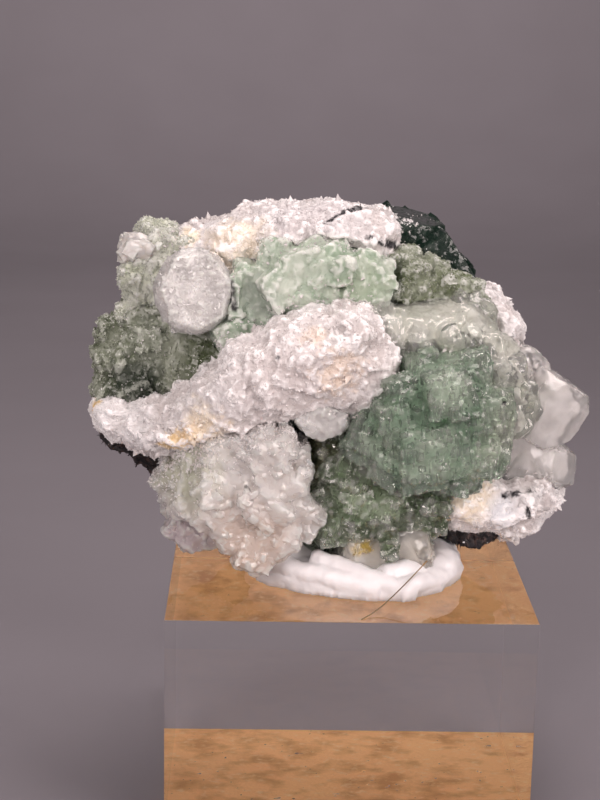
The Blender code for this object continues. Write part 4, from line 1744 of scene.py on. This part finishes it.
@dataclass
class Studio:
    """The camera, the lights and the floor that sweeps up all round."""

    finishes: Finishes
    place: Point = (-10.1255, -197.987, 93.3095)
    seen: Range = (0.005, 10.0)
    pitch: float = 13.97489
    yaw: float = 1.30697
    roll: float = 1.15111
    lens: float = 80.138
    floor_gap: float = 0.02
    floor_radius: float = 420.0
    bend: float = 200.0
    bend_steps: int = 8
    wall_height: float = 700.0
    lights: tuple[Softbox, ...] = (
        Softbox("key", (-190, -290, 180), (200, 200), 0.5),
        Softbox("fill", (230, -230, 90), (160, 180), 0.42),
        Softbox("top", (40, 60, 320), (240, 160), 0.4),
        Softbox("rear", (-60, 320, 200), (220, 160), 0.16, mirrored=False),
        Softbox("far_floor", (0, 330, 420), (300, 160), 0.66, (0, 640, 60), 110.0),
        *(Softbox(f"spark_{k}", place, (40, 40), 0.06) for k, place in enumerate(SPARKS)),
    )

    def build(self) -> None:
        """Builds the camera, the floor, the lights and the faint light all round."""
        self._build_camera()
        self._build_floor()
        for light in self.lights:
            light.build()
        self._build_sky()

    def _build_camera(self) -> None:
        """Places the camera where the photograph was taken from."""
        pitch, yaw, roll = (math.radians(a) for a in (self.pitch, self.yaw, self.roll))
        ahead = Vector((math.sin(yaw), math.cos(yaw), 0.0))
        right = Vector((math.cos(yaw), -math.sin(yaw), 0.0))
        up = Vector((0.0, 0.0, 1.0))
        look = ahead * math.cos(pitch) - up * math.sin(pitch)
        over = up * math.cos(pitch) + ahead * math.sin(pitch)
        side = right * math.cos(roll) + over * math.sin(roll)
        top = over * math.cos(roll) - right * math.sin(roll)
        data = bpy.data.cameras.new("camera")
        data.lens = self.lens
        data.clip_start, data.clip_end = self.seen
        camera = place_new("camera", data)
        matrix = Matrix((side, top, -look)).transposed().to_4x4()
        matrix.translation = Vector(self.place) * MM
        camera.matrix_world = matrix
        bpy.context.scene.camera = camera

    def _build_floor(self) -> None:
        """Builds the plain floor, swept up to a wall all round."""
        deselect_all()
        bpy.ops.mesh.primitive_circle_add(
            vertices=96, radius=self.floor_radius * MM, fill_type="NGON", location=(0, 0, 0)
        )
        floor = bpy.context.object
        floor.name = "floor"
        for k in range(1, self.bend_steps + 1):
            turn = math.radians(90.0 * k / self.bend_steps)
            last = math.radians(90.0 * (k - 1) / self.bend_steps)
            rise = self.bend * (math.cos(last) - math.cos(turn))
            widen = self.bend * (math.sin(turn) - math.sin(last))
            self._lift_rim(floor, rise, widen)
        self._lift_rim(floor, self.wall_height, 0.0)
        floor.location.z = -self.floor_gap * MM
        take_up(floor)
        bpy.ops.object.transform_apply(location=True)
        edit_all(floor)
        bpy.ops.mesh.normals_make_consistent(inside=True)
        close_edit()
        bpy.ops.object.shade_smooth()
        floor.data.materials.append(self.finishes.floor)

    def _lift_rim(self, floor: bpy.types.Object, rise: float, widen: float) -> None:
        """Extrudes the floor's rim up and outwards.

        Args:
            floor: The floor.
            rise: How far up, in millimetres.
            widen: How far out, in millimetres.
        """
        edit_all(floor)
        bpy.ops.mesh.select_mode(type="EDGE")
        bpy.ops.mesh.region_to_loop()
        bpy.ops.mesh.extrude_edges_move()
        close_edit()
        for vert in floor.data.vertices:
            if vert.select:
                flat = Vector((vert.co.x, vert.co.y, 0.0))
                vert.co += flat.normalized() * widen * MM
                vert.co.z += rise * MM

    def _build_sky(self) -> None:
        """Adds the faint light all round, and shows colours as they are."""
        world = bpy.data.worlds.new("soft_world")
        world.use_nodes = True
        fill(world.node_tree.nodes["Background"], Color=(1.0, 0.89, 0.88, 1.0), Strength=0.45)
        bpy.context.scene.world = world
        bpy.context.scene.view_settings.view_transform = "Standard"


def steps(
    count: int, seed: int, turn: Point, width: Range, length: Range, proud: Range = (0.04, 0.3)
) -> Cover:
    """Growth steps: sharp blocks that all stand nearly the same way.

    Args:
        count: How many there are.
        seed: The seed of chance.
        turn: How the blocks stand, in degrees.
        width: Their half widths.
        length: Their half heights.
        proud: How far they stand out of the surface.

    Returns:
        The cover.
    """
    return Cover(Shape.BLOCK, count, width, length, 0.03, seed, turn=turn, proud=proud)


def sugar(
    count: int, seed: int, width: Range = (0.08, 0.22), length: Range = (0.14, 0.42)
) -> Cover:
    """Fine sugary grains that stand every way.

    Args:
        count: How many there are.
        seed: The seed of chance.
        width: Their half widths.
        length: Their lengths.

    Returns:
        The cover.
    """
    return Cover(Shape.GRAIN, count, width, length, 0.7, seed, clear_of=0.6)


def crystal_groups(finishes: Finishes) -> list[CrystalGroup]:
    """Lists the crystal groups.

    Args:
        finishes: The materials.

    Returns:
        The groups, in the order in which they are built.
    """
    upright = (6.0, -9.0, 24.0)
    tilted = (-10.0, 14.0, -16.0)
    etched = Uneven(Relief.BLOCKS, 1.3, 0.16, upright)
    striae = Uneven(Relief.LUMPS, 0.5, 0.3, upright, stretch=4.0)
    soft = Uneven(Relief.LUMPS, 1.3, 0.9)
    rough = Uneven(Relief.LUMPS, 0.55, 0.3)
    beads = Uneven(Relief.PEAKS, 0.8, -0.3)
    fine = Uneven(Relief.CRACKLE, 0.6, 0.12)
    domes = Uneven(Relief.PEAKS, 2.3, -1.1)
    veins = Uneven(Relief.LUMPS, 0.9, 0.22, (90.0, 12.0, 0.0), stretch=3.0)
    tall = ((0.05, 0.38), (0.1, 0.7), (-0.02, 0.1))
    green, dark, white = finishes.green_heart, finishes.dark_heart, finishes.white_heart
    gentle = Uneven(Relief.LUMPS, 2.0, 1.5)
    frosted = (gentle, soft, beads)
    return [
        CrystalGroup(
            "fluorite_main", finishes.main, (soft, etched, striae),
            (steps(1500, 701, upright, *tall),), heart=green, depth=1.5,
        ),
        CrystalGroup(
            "fluorite_lower", finishes.lower, (gentle, domes, fine),
            (steps(1100, 702, tilted, *tall),),
            melted=(
                Cover(
                    Shape.BLOCK, 16, (0.7, 1.3), (1.2, 2.4), 0.3, 742, sink=0.3,
                    zone=((-4.0, -8.6, 38.8), 3.2),
                ),
            ),
            heart=green, depth=1.7,
        ),
        CrystalGroup("fluorite_mint", finishes.mint, (gentle, rough, beads)),
        CrystalGroup("fluorite_olive", finishes.olive, frosted, (sugar(5500, 704),)),
        CrystalGroup(
            "fluorite_dark", finishes.dark, (fine,),
            (steps(160, 705, (8.0, -36.0, 10.0), (0.2, 1.0), (0.2, 1.4), (-0.02, 0.06)),),
            heart=dark, depth=1.2,
        ),
        CrystalGroup(
            "fluorite_left", finishes.left, (gentle, rough, fine),
            (sugar(5500, 706), steps(500, 716, tilted, (0.1, 0.5), (0.1, 0.5), (0.05, 0.25))),
            heart=dark, depth=1.2,
        ),
        CrystalGroup("fluorite_upper_left", finishes.upper_left, frosted, (sugar(5500, 707),)),
        CrystalGroup(
            "fluorite_back", finishes.main, (soft, etched), (steps(1400, 708, tilted, *tall),),
            heart=green, depth=1.5,
        ),
        CrystalGroup(
            "fluorite_back_right", finishes.main, (soft, etched),
            (steps(1400, 709, upright, *tall),), heart=green, depth=1.5,
        ),
        CrystalGroup(
            "calcite_plate", finishes.plate, (veins, fine),
            melted=(steps(170, 710, (96.0, 0.0, 12.0), (0.2, 1.2), (0.1, 0.6), (0.1, 0.32)),),
            swell=0.14, heart=white, depth=0.7, cloud=3.0, voxel=0.16, smooth_angle=12.0,
        ),
        CrystalGroup(
            "calcite_left", finishes.milky, (soft, rough, fine),
            melted=(
                steps(420, 711, (30.0, 40.0, 15.0), (0.3, 1.5), (0.3, 1.5), (0.0, 0.7)),
                steps(160, 731, (4.0, -6.0, 35.0), (0.25, 0.7), (0.5, 1.8), (0.0, 0.6)),
            ),
            heart=white, depth=0.8,
        ),
        CrystalGroup(
            "calcite_right", finishes.glassy, (Uneven(Relief.LUMPS, 1.6, 0.5), veins),
            melted=(
                steps(60, 712, (20.0, 35.0, 10.0), (0.2, 0.9), (0.2, 0.9), (0.05, 0.32)),
                Cover(
                    Shape.POINT, 26, (0.5, 1.2), (1.0, 2.2), 0.7, 722,
                    zone=((18.0, -4.5, 51.5), 4.5),
                ),
            ),
            heart=white, depth=1.0, cloud=3.0,
        ),
        CrystalGroup(
            "calcite_clear", finishes.clear, (soft,),
            melted=(
                Cover(Shape.POINT, 150, (0.5, 1.7), (0.6, 1.5), 1.0, 714, sink=0.5),
                Cover(Shape.POINT, 40, (1.4, 2.6), (1.2, 2.4), 1.0, 734, sink=0.65),
            ),
            heart=white, depth=1.1, smooth_angle=40.0,
        ),
        CrystalGroup(
            "calcite_foot", finishes.foot, (rough,),
            melted=(Cover(Shape.POINT, 30, (0.5, 1.2), (0.5, 1.2), 1.0, 724, sink=0.6),),
            heart=white, depth=0.9, cloud=3.0, smooth_angle=40.0,
        ),
        CrystalGroup(
            "calcite_hanging", finishes.plate, (soft, rough), heart=white, depth=0.6, voxel=0.18,
        ),
        CrystalGroup("grey_calcite", finishes.mint, (soft, rough), voxel=0.18),
        CrystalGroup(
            "quartz_tip", finishes.milky, (soft,),
            melted=(Cover(Shape.BLOCK, 40, (0.4, 0.9), (0.4, 0.9), 0.6, 713, sink=0.2),),
            voxel=0.16,
        ),
    ]


@dataclass(frozen=True)
class Frost:
    """White frost on a crystal group: near the quartz crust, round a place, or all over."""

    node: str
    count: int
    reach: float = 0.0
    centre: Point | None = None
    width: Range = (0.06, 0.2)
    length: Range = (0.15, 0.5)

    def cover(self, seed: int) -> Cover:
        """Says how the grains lie.

        Args:
            seed: The seed of chance.

        Returns:
            The cover.
        """
        crust = ("quartz_crust", self.reach) if self.reach and not self.centre else None
        zone = (self.centre, self.reach) if self.centre else None
        return Cover(
            Shape.GRAIN, self.count, self.width, self.length, 0.6, seed, beside=crust, zone=zone,
            clear_of=0.12,
        )


SPECK = {"width": (0.03, 0.12), "length": (0.05, 0.2)}
FROSTS = (
    Frost("fluorite_main", 900, 1.3), Frost("fluorite_main", 600, **SPECK),
    Frost("fluorite_lower", 400, 1.0), Frost("fluorite_lower", 500, **SPECK),
    Frost("fluorite_mint", 3200, 3.6), Frost("fluorite_olive", 900, 1.8),
    Frost("fluorite_olive", 300, **SPECK), Frost("fluorite_dark", 150, 1.0),
    Frost("fluorite_dark", 70, 2.0, (5.6, 1.2, 65.2)), Frost("fluorite_dark", 120, **SPECK),
    Frost("fluorite_left", 1100, 1.8), Frost("fluorite_left", 900, **SPECK),
    Frost("fluorite_upper_left", 1900, 3.2), Frost("fluorite_back", 1200, 2.5),
    Frost("fluorite_back_right", 900, 2.0), Frost("calcite_plate", 500, 1.6),
    Frost("calcite_left", 5200, 6.5),
    Frost("calcite_left", 900, 1.2, width=(0.12, 0.3), length=(0.4, 0.9)),
    Frost("calcite_left", 400, **SPECK), Frost("calcite_right", 500, 1.6),
    Frost("calcite_clear", 900, 1.4), Frost("calcite_clear", 200, **SPECK),
    Frost("calcite_clear", 3, 0.9, (10.2, -10.6, 53.0), (0.25, 0.35), (1.0, 1.4)),
    Frost("calcite_foot", 100, 1.0), Frost("calcite_hanging", 300, 1.6),
    Frost("grey_calcite", 500, 2.5),
)


def build_crystals(finishes: Finishes) -> None:
    """Builds all crystal groups, and the frost that the crust spreads over them.

    Args:
        finishes: The materials.
    """
    flakes = []
    for group in crystal_groups(finishes):
        group.build_heart()
        body = group.build()
        for k, frost in enumerate(FROSTS):
            if frost.node == group.node:
                flakes.append(group.frost(body, frost.cover(FROST_SEED + k)))
        group.dress(group.grow(body))
    frost = join_all(flakes)
    frost.name = "quartz_frost"
    put_in_place(frost, finishes.druse, "quartz_crust")


def main() -> None:
    """Builds and dresses every piece, from the block up to the druse."""
    logging.basicConfig(level=logging.INFO)
    finishes = Finishes()
    Studio(finishes).build()
    DisplayBlock(finishes).build()
    Putty(finishes).build()
    build_crystals(finishes)
    HostRock(finishes.rock, finishes.druse).build()
    QuartzCrust(finishes).build()


if __name__ == "__main__":
    main()
